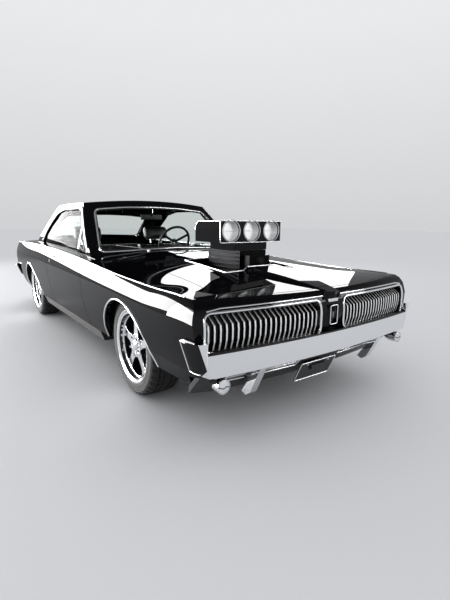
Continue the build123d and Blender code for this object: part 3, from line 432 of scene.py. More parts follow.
def surfaced(name, hex_colour, metallic, roughness, grain, depth, uneven=0.06):
    """Material with grain and depth in metres, and roughness that wanders by uneven."""
    made = bpy.data.materials.new(name)
    made.use_nodes = True
    tree = made.node_tree
    shader = tree.nodes["Principled BSDF"]
    shader.inputs["Base Color"].default_value = linear(hex_colour)
    shader.inputs["Metallic"].default_value = metallic
    place = add_node(tree, "ShaderNodeTexCoord")
    patches = add_node(tree, "ShaderNodeTexNoise", None, {"Scale": 9.0, "Detail": 4.0},
                       {"Vector": place.outputs["Object"]})
    wander = add_node(tree, "ShaderNodeMapRange", None,
                      {"To Min": max(roughness - uneven, 0.0), "To Max": roughness + uneven},
                      {"Value": patches.outputs["Fac"]})
    tree.links.new(wander.outputs[0], shader.inputs["Roughness"])
    if grain:
        bumps = add_node(tree, "ShaderNodeTexNoise", None, {"Scale": 1.0 / grain, "Detail": 3.0},
                         {"Vector": place.outputs["Object"]})
        raised = add_node(tree, "ShaderNodeBump", None, {"Strength": 1.0, "Distance": depth},
                          {"Height": bumps.outputs["Fac"]})
        tree.links.new(raised.outputs[0], shader.inputs["Normal"])
    return made


# The lacquer's faint waves are about 20 mm across and a micron deep.
black_enamel = surfaced("black_enamel", "#060608", 0.0, 0.25, 0.020, 0.0000012)
lacquer = black_enamel.node_tree.nodes["Principled BSDF"].inputs
lacquer["Specular IOR Level"].default_value = 0.0
lacquer["Coat Weight"].default_value = 0.42
lacquer["Coat Roughness"].default_value = 0.01
lacquer["Coat IOR"].default_value = 1.5
FIXED_PANELS = ("cowl", "roof", "rear_body", "nose_panel",
                "fender_l", "fender_r", "quarter_l", "quarter_r")
PANELS = {node: "car_body" for node in FIXED_PANELS}
PANELS.update({"hood": "hood", "trunk_lid": "trunk_lid", "door_l": "door_left", "door_r": "door_right"})
panels = {}
for node, body in PANELS.items():
    skin = joined_copy(node, node + "_skin", body, black_enamel)
    smoothed(skin)
    shading = own_shading(skin)
    cut_finely(skin, PANEL_PITCH)
    shade_as_pressed(skin, shading)
    panels[node] = skin

# --- Windows --------------------------------------------------------------------------
# Curved laminated windshield, tempered side and rear panes. Thin clear glass: it shows
# what is behind it and mirrors a little more towards the edges, with faint wiped smears.
window_glass = bpy.data.materials.new("window_glass")
window_glass.use_nodes = True
tree = window_glass.node_tree
tree.nodes.clear()
place = add_node(tree, "ShaderNodeTexCoord")
smears = add_node(tree, "ShaderNodeTexNoise", None, {"Scale": 5.0, "Detail": 5.0},
                  {"Vector": place.outputs["Object"]})
smear = add_node(tree, "ShaderNodeMapRange", None, {"To Min": 0.0, "To Max": 0.05},
                 {"Value": smears.outputs["Fac"]})
clear = add_node(tree, "ShaderNodeBsdfTransparent", None, {"Color": linear("#FAFCFB")})
mirror = add_node(tree, "ShaderNodeBsdfGlossy", None, None, {"Roughness": smear.outputs[0]})
facing = add_node(tree, "ShaderNodeFresnel", None, {"IOR": 1.03})
side_of_pane = add_node(tree, "ShaderNodeNewGeometry")
outside = add_node(tree, "ShaderNodeMath", {"operation": "SUBTRACT"}, {0: 1.0},
                   {1: side_of_pane.outputs["Backfacing"]})
share = add_node(tree, "ShaderNodeMath", {"operation": "MULTIPLY"}, None,
                 {0: facing.outputs[0], 1: outside.outputs[0]})
pane = add_node(tree, "ShaderNodeMixShader", None, None,
                {0: share.outputs[0], 1: clear.outputs[0], 2: mirror.outputs[0]})
add_node(tree, "ShaderNodeOutputMaterial", None, None, {"Surface": pane.outputs[0]})


def dressed(node, material):
    """Gives a CAD node that stays as it is its material."""
    nodes[node].data.materials.clear()
    nodes[node].data.materials.append(material)


for node in ("windshield", "rear_glass", "door_glass_l", "door_glass_r"):
    dressed(node, window_glass)

# --- Window surrounds and body mouldings ----------------------------------------------
# Bright strips rolled from stainless steel and polished, clipped over the edges of the
# panels: round the windows, along the drip rail and the shoulder, and round the arches.
# x and z of each window's corners, from the middle of its foot to the middle of its head
WINDSHIELD_CORNERS = ((0.0, 0.899), (0.668, 0.874), (0.574, 1.218), (0.300, 1.242), (0.0, 1.250))
BACKLIGHT_CORNERS = ((0.0, 0.940), (0.590, 0.925), (0.505, 1.180), (0.260, 1.202), (0.0, 1.208))
# y and z of the side window's corners, from the front of the belt line over the top
SIDE_CORNERS = ((-0.424, 0.880), (-0.110, 1.180), (-0.066, 1.214), (0.020, 1.232), (0.545, 1.232),
                (0.770, 1.196), (1.090, 1.035), (1.262, 0.900))
FRAME_FOOT_Z, DRIP_FOOT_Z = 0.872, 0.885
DIVIDER_Y = -0.187
DIVIDER_ZS = (0.880, 0.95, 1.02, 1.09)
SHOULDER_Y = (-2.21, 2.32)              # how far the moulding on the shoulder reaches
DOOR_Y = (-0.697, 0.415)                # the door's shut lines
SHUT_GAP = 0.003                        # from a shut line to a moulding's end
FRONT_ARCH, REAR_ARCH = (-1.472, 0.250), (1.337, 0.240)   # y and z of each centre
ARCH_R = 0.385
ARCH_FOOT_Z = 0.302
SIDES = ((1.0, "l"), (-1.0, "r"))
DOORS = {"l": "door_left", "r": "door_right"}

polished_steel = surfaced("polished_stainless_steel", "#ECEDEF", 0.85, 0.16, 0.0, 0.0, 0.05)
black_rubber = surfaced("moulded_black_rubber", "#101011", 0.0, 0.55, 0.0012, 0.0001, 0.1)


def mirrored_outline(corners):
    """Closed outline from the corners of its left half."""
    return list(corners) + [(-x, z) for x, z in corners[-2:0:-1]]


def grown(outline, amount):
    """Closed flat outline let out by amount; it turns anticlockwise."""
    count = len(outline)
    points = []
    for i in range(count):
        before, here, after = (Vector(outline[k % count]) for k in (i - 1, i, i + 1))
        a, b = (here - before).normalized(), (after - here).normalized()
        bisector = Vector((a.y + b.y, -a.x - b.x)).normalized()
        reach = max(bisector.dot(Vector((a.y, -a.x))), 0.4)
        points.append(tuple(here + bisector * amount / reach))
    return points


def between(start, end, step):
    """Points that divide the run from start to end into steps."""
    count = int((end - start).length / step)
    return [start.lerp(end, (k + 1) / (count + 1)) for k in range(count)]


def rounded_corner(before, here, after, radius):
    """Seven points round the corner at here, which starts radius away from it at most."""
    cut = min(radius, (before - here).length * 0.45, (after - here).length * 0.45)
    start = here + (before - here).normalized() * cut
    end = here + (after - here).normalized() * cut
    return [start * (1 - t) ** 2 + here * 2 * t * (1 - t) + end * t ** 2 for t in (k / 6 for k in range(7))]


def flowing(corners, radius, step=0.04, closed=True):
    """Line through flat or solid corners with its corners rounded and its runs divided."""
    corners = [Vector(corner) for corner in corners]
    count = len(corners)
    line = []
    for i, here in enumerate(corners):
        if closed or 0 < i < count - 1:
            bend = rounded_corner(corners[i - 1], here, corners[(i + 1) % count], radius)
        else:
            bend = [here]
        if line:
            line += between(line[-1], bend[0], step)
        line += bend
    if closed:
        line += between(line[-1], line[0], step)
    return line


def strip(name, points, half_w, material=polished_steel, closed=False, body="car_body"):
    """Half-round strip along points, with closed ends."""
    curve = bpy.data.curves.new(name + "_line", "CURVE")
    curve.dimensions = "3D"
    spline = curve.splines.new("POLY")
    spline.points.add(len(points) - 1)
    for point, spot in zip(spline.points, points):
        point.co = (*spot, 1.0)
    spline.use_cyclic_u = closed
    curve.bevel_depth = half_w
    curve.bevel_resolution = 3
    curve.use_fill_caps = True
    line = bpy.data.objects.new(name + "_line", curve)
    piece = placed(name, bpy.data.meshes.new_from_object(line))
    bpy.data.objects.remove(line)
    smoothed(piece, 50.0)
    return settled(piece, body, material)


def pair_of_strips(name, points, half_w, material=polished_steel, closed=False):
    """Strip on the car's left side, and its mirror image on the right."""
    for side, mark in SIDES:
        strip(name + "_" + mark, [flipped(spot, side) for spot in points], half_w, material, closed)


def fall_back(x, radius):
    """How far a circle of this radius lies behind its foremost point at x."""
    return radius - math.sqrt(radius ** 2 - x ** 2)


def on_window(window, x, z, out):
    """Point on a raked window surface, out metres in front of it."""
    foot_y, sag, half_w, run, rise = window
    radius = (half_w ** 2 + sag ** 2) / (2 * abs(sag))
    ahead = -1.0 if sag > 0 else 1.0
    y = foot_y - ahead * fall_back(x, radius) + (z - WINDOW_FOOT_Z) * run / rise + ahead * out
    return Vector((x, y, z))


def x_on(section, z):
    """Half width of a section at a height."""
    for (x0, z0), (x1, z1) in zip(section, section[1:]):
        if z0 <= z <= z1:
            return x0 + (x1 - x0) * (z - z0) / (z1 - z0)
    return section[-1][0] if z > section[-1][1] else section[0][0]


def cabin_x(y, z):
    """Half width of the roof's side."""
    return x_on(cabin_strips(y)[0], z)


def side_x(y, z):
    """Half width of the body's side."""
    low, lower, upper = body_strips(y)[:3]
    return x_on(low + lower[1:] + upper[1:], z)


for name, window, corners in (("windshield", WINDSHIELD, WINDSHIELD_CORNERS),
                              ("backlight", BACKLIGHT, BACKLIGHT_CORNERS)):
    outline = mirrored_outline(corners)
    bright = flowing(grown(outline, 0.008), 0.045)
    strip(name + "_surround", [on_window(window, x, z, 0.001) for x, z in bright], 0.0080, closed=True)
    seal = flowing(grown(outline, -0.004), 0.040)
    strip(name + "_seal", [on_window(window, x, z, -0.008) for x, z in seal], 0.006,
          black_rubber, True)

for name, let_out, bend_r, out, foot_z, half_w in (
        ("side_window_frame", 0.010, 0.03, 0.001, FRAME_FOOT_Z, 0.0045),
        ("drip_rail", 0.034, 0.06, 0.004, DRIP_FOOT_Z, 0.0055)):
    line = flowing(grown(SIDE_CORNERS[::-1], let_out)[::-1], bend_r, closed=False)
    pair_of_strips(name, [Vector((cabin_x(y, z) + out, y, z)) for y, z in line if z > foot_z], half_w)

for side, mark in SIDES:
    divider = [Vector((side * (cabin_x(DIVIDER_Y, z) - 0.010), DIVIDER_Y, z)) for z in DIVIDER_ZS]
    strip("window_divider_" + mark, divider, 0.0055, body=DOORS[mark])
    for part, y0, y1, body in (("fender", SHOULDER_Y[0], DOOR_Y[0] - SHUT_GAP, "car_body"),
                               ("door", DOOR_Y[0] + SHUT_GAP, DOOR_Y[1] - SHUT_GAP, DOORS[mark]),
                               ("quarter", DOOR_Y[1] + SHUT_GAP, SHOULDER_Y[1], "car_body")):
        ys = [y0 + (y1 - y0) * k / 30 for k in range(31)]
        crease = [body_strips(y)[2][-1] for y in ys]
        strip("shoulder_moulding_%s_%s" % (part, mark),
              [Vector((side * (x - 0.0005), y, z)) for y, (x, z) in zip(ys, crease)], 0.0038, body=body)

for part, (centre_y, centre_z) in (("front", FRONT_ARCH), ("rear", REAR_ARCH)):
    start = math.asin((ARCH_FOOT_Z - centre_z) / ARCH_R)
    arch = []
    for k in range(49):
        turn = start + (math.pi - 2 * start) * k / 48
        y = centre_y + (ARCH_R + 0.003) * math.cos(turn)
        z = centre_z + (ARCH_R + 0.003) * math.sin(turn)
        arch.append(Vector((side_x(y, z) - 0.001, y, z)))
    pair_of_strips(part + "_arch_moulding", arch, 0.006)

# --- Grille and nose ------------------------------------------------------------------
# Die-cast upright bars, kinked back over their upper quarter, with chromed faces. Their
# sides and the pressed panel behind them are painted black, so only the faces show.
GRILLE_FACE_R = 5.128
BAR_DEPTH = 0.066
BAR_FOOT_Z = 0.517
NOSE_LEAN = 0.018 / 0.076               # the face leans back above NOSE_BEND_Z
NOSE_BEND_Z = 0.640
LIP_X, LIP_Z = (0.070, 0.810), 0.7200
GRILLE_EDGE = (0.098, 0.828, 0.509, 0.702)     # x0, x1, z0, z1
BADGE = (0.030, 0.556, 0.664)           # half width, foot z, head z
NOSE_CAP = (0.040, 0.684, 0.714)

bright_chrome = surfaced("polished_chrome_plate", "#EDEEF0", 1.0, 0.05, 0.0, 0.0, 0.03)
satin_black = surfaced("satin_black_paint_on_steel", "#0C0C0D", 0.0, 0.42, 0.0016, 0.00002, 0.08)
# Die-cast chrome is given a pale white share beside its mirror, a painted sheen, so that it is pale from
# any side.
chrome_with_painted_sheen = surfaced("die_cast_bright_chrome_with_painted_sheen", "#F6F6F6", 0.45, 0.30, 0.0012, 0.00002, 0.08)


def front_y(x, radius):
    """y of the front end's plan circle, drawn with this radius."""
    return NOSE_CENTRE_Y - math.sqrt(radius ** 2 - x ** 2)


def nose_point(x, z, out=0.0):
    """Point on the nose's face, out metres in front of it."""
    return Vector((x, front_y(x, NOSE_R - max(z - NOSE_BEND_Z, 0.0) * NOSE_LEAN + out), z))


def oblong(x0, x1, z0, z1, radius, step=0.03):
    """Closed flat oblong with rounded corners."""
    return flowing(((x0, z0), (x1, z0), (x1, z1), (x0, z1)), radius, step)


def box(name, shape, bevel, segments):
    """Cube whose corners, -0.5 or 0.5 each way, shape moves to their places; its edges are rounded."""
    bpy.ops.object.select_all(action="DESELECT")
    bpy.ops.mesh.primitive_cube_add(size=1.0)
    piece = bpy.context.object
    piece.name = name
    for vertex in piece.data.vertices:
        vertex.co = shape(*vertex.co)
    applied(piece, "BEVEL", width=bevel, segments=segments)
    return piece


grille = joined_copy("grille", "grille_bars", "car_body", chrome_with_painted_sheen)
grille.data.materials.append(satin_black)
for face in grille.data.polygons:
    behind = face.center.y - front_y(face.center.x, GRILLE_FACE_R)
    faces_front = face.normal.y < -0.25 and behind < BAR_DEPTH and face.center.z > BAR_FOOT_Z
    face.material_index = 0 if faces_front else 1

body_corners, body_faces = [], []
for name in [name for name in PANELS if name != "roof"]:
    first = len(body_corners)
    body_corners += [vertex.co.copy() for vertex in panels[name].data.vertices]
    body_faces += [[first + i for i in face.vertices] for face in panels[name].data.polygons]
body_tree = BVHTree.FromPolygons(body_corners, body_faces)


def on_body(x, y, out=0.0):
    """Point on top of the body panels at x, y, out metres above them."""
    spot = body_tree.ray_cast(Vector((x, y, 1.4)), Vector((0.0, 0.0, -1.0)))[0]
    return spot + Vector((0.0, 0.0, out))


def lip_point(t):
    """Point on the hood's lip, t from 0 beside the badge to 1, where the lip dips at its end."""
    return nose_point(LIP_X[0] + (LIP_X[1] - LIP_X[0]) * t, LIP_Z - 0.1 * max(t - 0.9, 0.0), -0.0015)


pair_of_strips("hood_lip_moulding", [lip_point(k / 40) for k in range(41)], 0.0045, bright_chrome)
pair_of_strips("grille_surround", [nose_point(x, z, 0.001) for x, z in oblong(*GRILLE_EDGE, 0.045)],
               0.0075, bright_chrome, True)

cap_half_w, cap_foot_z, cap_head_z = NOSE_CAP


def cap_corner(across, along, up):
    """The cap over the nose's centre is wider at its head and stands a little in front."""
    half_w = cap_half_w + (0.006 if up > 0 else 0.0)
    out = 0.013 if along < 0 else -0.004
    return nose_point(2 * across * half_w, cap_foot_z if up < 0 else cap_head_z, out)


cap_lip = box("nose_cap_lip", cap_corner, 0.003, 3)
smoothed(cap_lip)
settled(cap_lip, "car_body", bright_chrome)
badge_half_w, badge_foot_z, badge_head_z = BADGE
badge_line = [nose_point(x, z, 0.0095 + max(z - NOSE_BEND_Z, 0.0) * NOSE_LEAN)
              for x, z in oblong(-badge_half_w, badge_half_w, badge_foot_z, badge_head_z, 0.008, 0.02)]
strip("badge_frame", badge_line, 0.0032, bright_chrome, True)

# --- Bumpers --------------------------------------------------------------------------
# Pressed spring steel, nickel and chrome plated. The outward faces of the front bar's tall
# wrapped ends are painted black, a painted dark reflection of what the chrome would mirror
# there, edged by a chromed bead; two slanted guards are bolted under it.
BAR_HALF_W = 0.838
BUMPER_R = 6.400
BUMPER_FACE_Y = 2.437
END_PLAN = ((0.860, -2.417), (0.905, -2.287), (0.905, -2.247))   # the end's corners at its head, x and y
END_Z = (0.400, 0.572)
END_LEAN = 0.055
PAINTED_END_EDGE = 0.004                      # from the bar's edges to the middle of the bead round the painted-dark end
LOWER_LIP = (0.80, 0.398)               # half width and z
FILLER_W, FILLER_Z = 1.656, 0.5125


def edged_copy(node, name, body, material, width, segments=2, cuts=()):
    """Joined copy of a CAD node with its flat faces merged and its sharp edges rounded.
    It is cut through at each x in cuts first, so that a face can change finish there."""
    piece = joined_copy(node, name, body, material)
    only(piece)
    bpy.ops.object.mode_set(mode="EDIT")
    bpy.ops.mesh.select_all(action="SELECT")
    bpy.ops.mesh.dissolve_limited(angle_limit=math.radians(0.5))
    for x in cuts:
        bpy.ops.mesh.select_all(action="SELECT")
        bpy.ops.mesh.bisect(plane_co=(x, 0.0, 0.0), plane_no=(1.0, 0.0, 0.0))
    bpy.ops.object.mode_set(mode="OBJECT")
    applied(piece, "BEVEL", width=width, segments=segments, limit_method="ANGLE",
            angle_limit=math.radians(35.0), use_clamp_overlap=True)
    smoothed(piece, 40.0)
    applied(piece, "WEIGHTED_NORMAL", keep_sharp=True)
    return piece


def bumper_y(x):
    """y of the front bar's face."""
    return fall_back(x, BUMPER_R) - BUMPER_FACE_Y


def bar_end(z):
    """Places at height z round the bar's end: where its painted-dark face starts, the bend and the rear
    edge.
    """
    lean = END_LEAN * (END_Z[1] - z) / (END_Z[1] - END_Z[0])
    (ax, ay), (bx, by), (cx, cy) = ((x - lean, y) for x, y in END_PLAN)
    start_y = max(bumper_y(BAR_HALF_W), ay + (BAR_HALF_W - ax) / (bx - ax) * (by - ay))
    return [Vector((BAR_HALF_W, start_y, z)), Vector((bx - 0.001, by, z)), Vector((cx - 0.001, cy, z))]


def sheet(name, columns, rows, shape, thickness, offset=-1.0):
    """Grid whose points, -0.5 to 0.5 both ways, shape moves to their places; it is then made thick."""
    bpy.ops.object.select_all(action="DESELECT")
    bpy.ops.mesh.primitive_grid_add(x_subdivisions=columns, y_subdivisions=rows, size=1.0)
    piece = bpy.context.object
    piece.name = name
    for vertex in piece.data.vertices:
        vertex.co = shape(vertex.co.x, vertex.co.y)
    applied(piece, "SOLIDIFY", thickness=thickness, offset=offset)
    return piece


def filler_point(across, along):
    """The filler runs from just behind the bar's face back to the body."""
    x = across * FILLER_W
    fore = bumper_y(x) + 0.007
    return x, fore if along < 0 else max(front_y(x, NOSE_R) - 0.0005, fore + 0.004), FILLER_Z


front_bar = edged_copy("front_bumper", "front_bumper_bar", "car_body", bright_chrome, 0.0045, 2,
                       (-BAR_HALF_W, BAR_HALF_W))
# The outward faces of the bar's ends get black paint: a painted dark reflection, standing in for the dark
# that the chrome mirrors there.
front_bar.data.materials.append(black_enamel)
for face in front_bar.data.polygons:
    on_end = abs(face.center.x) > BAR_HALF_W + 0.002 and face.area > 0.004
    outward = (abs(face.normal.x) > 0.5 or face.normal.y < -0.5) and face.normal.z < 0.5
    if on_end and outward:
        face.material_index = 1

foot_z, head_z = END_Z[0] + PAINTED_END_EDGE, END_Z[1] - PAINTED_END_EDGE
start = [bar_end(foot_z + (head_z - foot_z) * k / 8)[0] for k in range(9)]
pair_of_strips("bumper_end_bead", start + bar_end(head_z)[1:] + bar_end(foot_z)[:0:-1], 0.0036,
               chrome_with_painted_sheen, True)
lip_xs = [LOWER_LIP[0] * (k / 20 - 1) for k in range(41)]
strip("bumper_lower_lip", [Vector((x, bumper_y(x) + 0.006, LOWER_LIP[1])) for x in lip_xs], 0.004,
      bright_chrome)
# A rubber filler closes the gap between the front bar and the body.
filler = sheet("front_bumper_filler", 40, 1, filler_point, 0.004, 1.0)
smoothed(filler)
settled(filler, "car_body", black_rubber)
edged_copy("rear_bumper", "rear_bumper_bar", "car_body", bright_chrome, 0.006, 3)

# --- Front lamps and plate ------------------------------------------------------------
# Pressed valance under the bumper with long parking lamps let into it, moulded lenses in
# bright rims, round fog lamps on stems, and a blank pressed plate in a bright frame.
VALANCE_SLOPE = ((0.240, -0.165), (0.300, -0.112), (0.390, -0.030), (0.468, -0.014))   # z, change of radius
PARK_LAMP = (0.185, 0.665, 0.316, 0.366)       # x0, x1, z0, z1
FOG_LAMP = (0.748, -2.262, 0.345)
FOG_R = 0.0375
FOG_BAR = ((-0.031, 0.006, 0.004), (-0.008, 0.0, -0.004), (0.008, 0.0, 0.004), (0.031, 0.006, -0.004))
FOG_BAR_OUT = 0.1355
PLATE = (0.0, -2.303, 0.256)
PLATE_HALF_W, PLATE_HALF_H, PLATE_LEAN = 0.1525, 0.070, 25.0
PLATE_BOLT_X = 0.09
FORWARD = (0.0, -1.0, 0.0)

dressed("front_valance", satin_black)


def valance_point(x, z, out):
    """Point on the valance's slope, out metres in front of it."""
    for (z0, r0), (z1, r1) in zip(VALANCE_SLOPE, VALANCE_SLOPE[1:]):
        if z0 <= z <= z1:
            return Vector((x, front_y(x, NOSE_R + out + r0 + (r1 - r0) * (z - z0) / (z1 - z0)), z))


def moulded_lens(name, hex_colour, pitch, depth):
    """Clear or tinted plastic lens with fine upright flutes, pitch metres apart."""
    made = surfaced(name, hex_colour, 0.0, 0.12, 0.0, 0.0, 0.04)
    tree = made.node_tree
    shader = tree.nodes["Principled BSDF"]
    place = add_node(tree, "ShaderNodeTexCoord")
    flutes = add_node(tree, "ShaderNodeTexWave", {"bands_direction": "X"}, {"Scale": 0.314 / pitch},
                      {"Vector": place.outputs["Object"]})
    raised = add_node(tree, "ShaderNodeBump", None, {"Strength": 1.0, "Distance": depth},
                      {"Height": flutes.outputs["Fac"]})
    tree.links.new(raised.outputs[0], shader.inputs["Normal"])
    shader.inputs["Coat Weight"].default_value = 1.0
    return made


smoked_lens = moulded_lens("fluted_clear_acrylic_lens", "#4A4C50", 0.010, 0.0012)
clear_lens = moulded_lens("fluted_lamp_glass", "#DDE0E2", 0.006, 0.0008)


def turned(name, profile, centre, axis, material, body="car_body", steps=64, degrees=35.0):
    """Spins a profile of (along, radius) points about the axis through centre."""
    axis = Vector(axis).normalized()
    across = axis.orthogonal().normalized()
    points = [Vector(centre) + axis * along + across * radius for along, radius in profile]
    mesh = bpy.data.meshes.new(name)
    mesh.from_pydata(points, [(i, i + 1) for i in range(len(points) - 1)], [])
    piece = placed(name, mesh)
    only(piece)
    bpy.ops.object.mode_set(mode="EDIT")
    bpy.ops.mesh.select_all(action="SELECT")
    bpy.ops.mesh.spin(steps=steps, angle=2 * math.pi, center=centre, axis=axis)
    bpy.ops.mesh.select_all(action="SELECT")
    bpy.ops.mesh.remove_doubles(threshold=WELD)
    bpy.ops.mesh.normals_make_consistent(inside=False)
    bpy.ops.object.mode_set(mode="OBJECT")
    smoothed(piece, degrees)
    return settled(piece, body, material)


# The parking lamps' lenses are the solid's own faces. Its fog lamps are cut off and turned anew.
lamps = joined_copy("front_lamps", "parking_lamp_lenses", "car_body", smoked_lens)
only(lamps)
bpy.ops.object.mode_set(mode="EDIT")
bpy.ops.mesh.select_all(action="DESELECT")
bpy.ops.object.mode_set(mode="OBJECT")
for vertex in lamps.data.vertices:
    vertex.select = abs(vertex.co.x) > FOG_LAMP[0] - FOG_R - 0.003
bpy.ops.object.mode_set(mode="EDIT")
bpy.ops.mesh.delete(type="VERT")
bpy.ops.object.mode_set(mode="OBJECT")
smoothed(lamps, 30.0)
x0, x1, z0, z1 = PARK_LAMP
pair_of_strips("parking_lamp_rim", [valance_point(x, z, 0.001) for x, z in oblong(*PARK_LAMP, 0.006)],
               0.0042, bright_chrome, True)
middle = [valance_point(x0 + (x1 - x0) * k / 20, (z0 + z1) / 2, -0.003) for k in range(21)]
pair_of_strips("parking_lamp_rib", middle, 0.0022, bright_chrome)

fog_shell = ((0.0, 0.0), (0.0, 0.014), (0.030, 0.016), (0.052, 0.030), (0.080, 0.036), (0.124, FOG_R),
             (0.129, FOG_R), (0.130, 0.034), (0.124, 0.034))
fog_lens = ((0.120, 0.0335), (0.129, 0.0325), (0.134, 0.022), (0.1365, 0.010), (0.137, 0.0))
for side, mark in SIDES:
    centre = flipped(Vector(FOG_LAMP), side)
    turned("fog_lamp_shell_" + mark, fog_shell, centre, FORWARD, bright_chrome)
    turned("fog_lamp_lens_" + mark, fog_lens, centre, FORWARD, clear_lens)
    front = centre - Vector((0.0, FOG_BAR_OUT, 0.0))
    strip("fog_lamp_bar_" + mark, [front + Vector(offset) for offset in FOG_BAR], 0.0032, satin_black)

pressed_plate = surfaced("embossed_aluminium_plate_enamelled", "#1A1A1C", 0.0, 0.35, 0.002, 0.00004, 0.08)
dressed("number_plate", pressed_plate)
lean = math.radians(PLATE_LEAN)
plate_up = Vector((0.0, -math.sin(lean), math.cos(lean)))
plate_out = Vector((0.0, -math.cos(lean), -math.sin(lean)))


def plate_point(across, up, out):
    """Point beside the front plate's centre: across and up its face, and out in front of it."""
    return Vector(PLATE) + Vector((across, 0.0, 0.0)) + plate_up * up + plate_out * out


def bolt(name, place, axis, radius):
    """Domed bolt head with a washer, standing on place."""
    head = ((0.0, 0.0), (0.0, radius), (0.0012, radius), (0.0016, radius * 0.68),
            (radius * 0.42, radius * 0.60), (radius * 0.55, radius * 0.3), (radius * 0.58, 0.0))
    turned(name, head, place, axis, bright_chrome, steps=20)


plate_line = oblong(-PLATE_HALF_W, PLATE_HALF_W, -PLATE_HALF_H, PLATE_HALF_H, 0.010)
strip("plate_frame", [plate_point(u * 0.985, v * 0.965, 0.0035) for u, v in plate_line], 0.0030,
      bright_chrome, True)
for side, mark in SIDES[::-1]:
    bolt("plate_bolt_" + mark, plate_point(side * PLATE_BOLT_X, 0.050, 0.003), plate_out, 0.006)

# --- Tail -----------------------------------------------------------------------------
# Full-width lamps: red moulded lenses behind upright chromed bars in a bright frame, a
# flush filler cap between them, a blank plate below and two turned exhaust tips.
TAIL_LAMP = (0.120, 0.700, 0.560, 0.690)       # x0, x1, z0, z1
TAIL_BARS = 16
FILLER_CAP_Z, TRUNK_LOCK_Z = 0.625, 0.735
REAR_PLATE = (0.0, 2.380, 0.322)
REAR_PLATE_SIZE = (0.305, 0.003, 0.140)
REAR_PLATE_EDGE = (-0.150, 0.150, 0.2545, 0.3895)
REAR_BOLT_Z = 0.370
TAIL_PIPE = ((0.250, 1.060, 0.205), (0.430, 2.410, 0.262))   # where its last run starts and ends
TAIL_PIPE_R = 0.028
REARWARD = (0.0, 1.0, 0.0)


def tail_point(x, z, out=0.0):
    """Point on the tail panel, out metres behind it."""
    return Vector((x, TAIL_CENTRE_Y + math.sqrt((TAIL_R + out) ** 2 - x ** 2), z))


red_lens = moulded_lens("moulded_red_acrylic_lens", "#A8060A", 0.008, 0.0006)
acrylic = red_lens.node_tree.nodes["Principled BSDF"].inputs
acrylic["Coat Weight"].default_value = 0.15
acrylic["Specular IOR Level"].default_value = 0.25
dressed("tail_lamps", red_lens)
pair_of_strips("tail_lamp_frame", [tail_point(x, z, 0.001) for x, z in oblong(*TAIL_LAMP, 0.010)], 0.006,
               bright_chrome, True)
x0, x1, z0, z1 = TAIL_LAMP
for side, mark in SIDES:
    for number in range(TAIL_BARS):
        x = x0 + (x1 - x0) * (number + 0.5) / TAIL_BARS
        bar = [flipped(tail_point(x, z, -0.006), side) for z in (z0 + 0.004, z1 - 0.004)]
        strip("tail_lamp_bar_%s%02d" % (mark, number + 1), bar, 0.0022, bright_chrome)
cap = ((0.0, 0.0), (0.0, 0.046), (0.010, 0.046), (0.014, 0.040), (0.011, 0.036), (0.013, 0.010),
       (0.015, 0.0))
lock = ((0.0, 0.0), (0.0, 0.016), (0.004, 0.015), (0.005, 0.006), (0.003, 0.005), (0.003, 0.0))
turned("filler_cap", cap, tail_point(0.0, FILLER_CAP_Z), REARWARD, bright_chrome)
turned("trunk_lock", lock, tail_point(0.0, TRUNK_LOCK_Z, -0.005), (0.0, 1.0, 0.08), bright_chrome)


def sized(middle, size):
    """Shape for box: a plain block of this size about its middle."""
    return lambda *corner: [place + reach * part for place, reach, part in zip(middle, size, corner)]


rear_plate = box("rear_plate", sized(REAR_PLATE, REAR_PLATE_SIZE), 0.0012, 2)
settled(rear_plate, "car_body", pressed_plate)
plate_line = [Vector((x, REAR_PLATE[1] + 0.0025, z)) for x, z in oblong(*REAR_PLATE_EDGE, 0.010)]
strip("rear_plate_frame", plate_line, 0.0030, bright_chrome, True)
for side, mark in SIDES[::-1]:
    x = side * PLATE_BOLT_X
    bolt("rear_plate_bolt_" + mark, (x, REAR_PLATE[1] + 0.0015, REAR_BOLT_Z), REARWARD, 0.006)
    turned("rear_plate_stem_" + mark, ((-0.014, 0.010), (0.0, 0.010)),
           (x, REAR_PLATE[1] - 0.0010, REAR_BOLT_Z), REARWARD, satin_black, steps=20)

# A near-black disc closes each pipe's mouth: carbon deposit, and painted shade standing in for the hollow
# pipe behind it.
carbon_and_pipe_shade = surfaced("carbon_deposit_and_painted_pipe_shade", "#050505", 0.0, 0.9, 0.001, 0.0001, 0.08)
tip = ((-0.110, TAIL_PIPE_R + 0.0005), (-0.106, TAIL_PIPE_R + 0.004), (0.012, TAIL_PIPE_R + 0.004),
       (0.016, TAIL_PIPE_R + 0.001), (0.012, TAIL_PIPE_R - 0.002), (0.0006, TAIL_PIPE_R - 0.002))
for side, mark in SIDES:
    start, end = (flipped(Vector(place), side) for place in TAIL_PIPE)
    turned("exhaust_tip_" + mark, tip, end, end - start, polished_steel)
    # Painted shade: the dark disc across the pipe's mouth.
    turned("exhaust_carbon_and_shade_" + mark, ((0.0008, TAIL_PIPE_R - 0.0015), (0.0009, 0.0)), end, end - start, carbon_and_pipe_shade,
           steps=32)

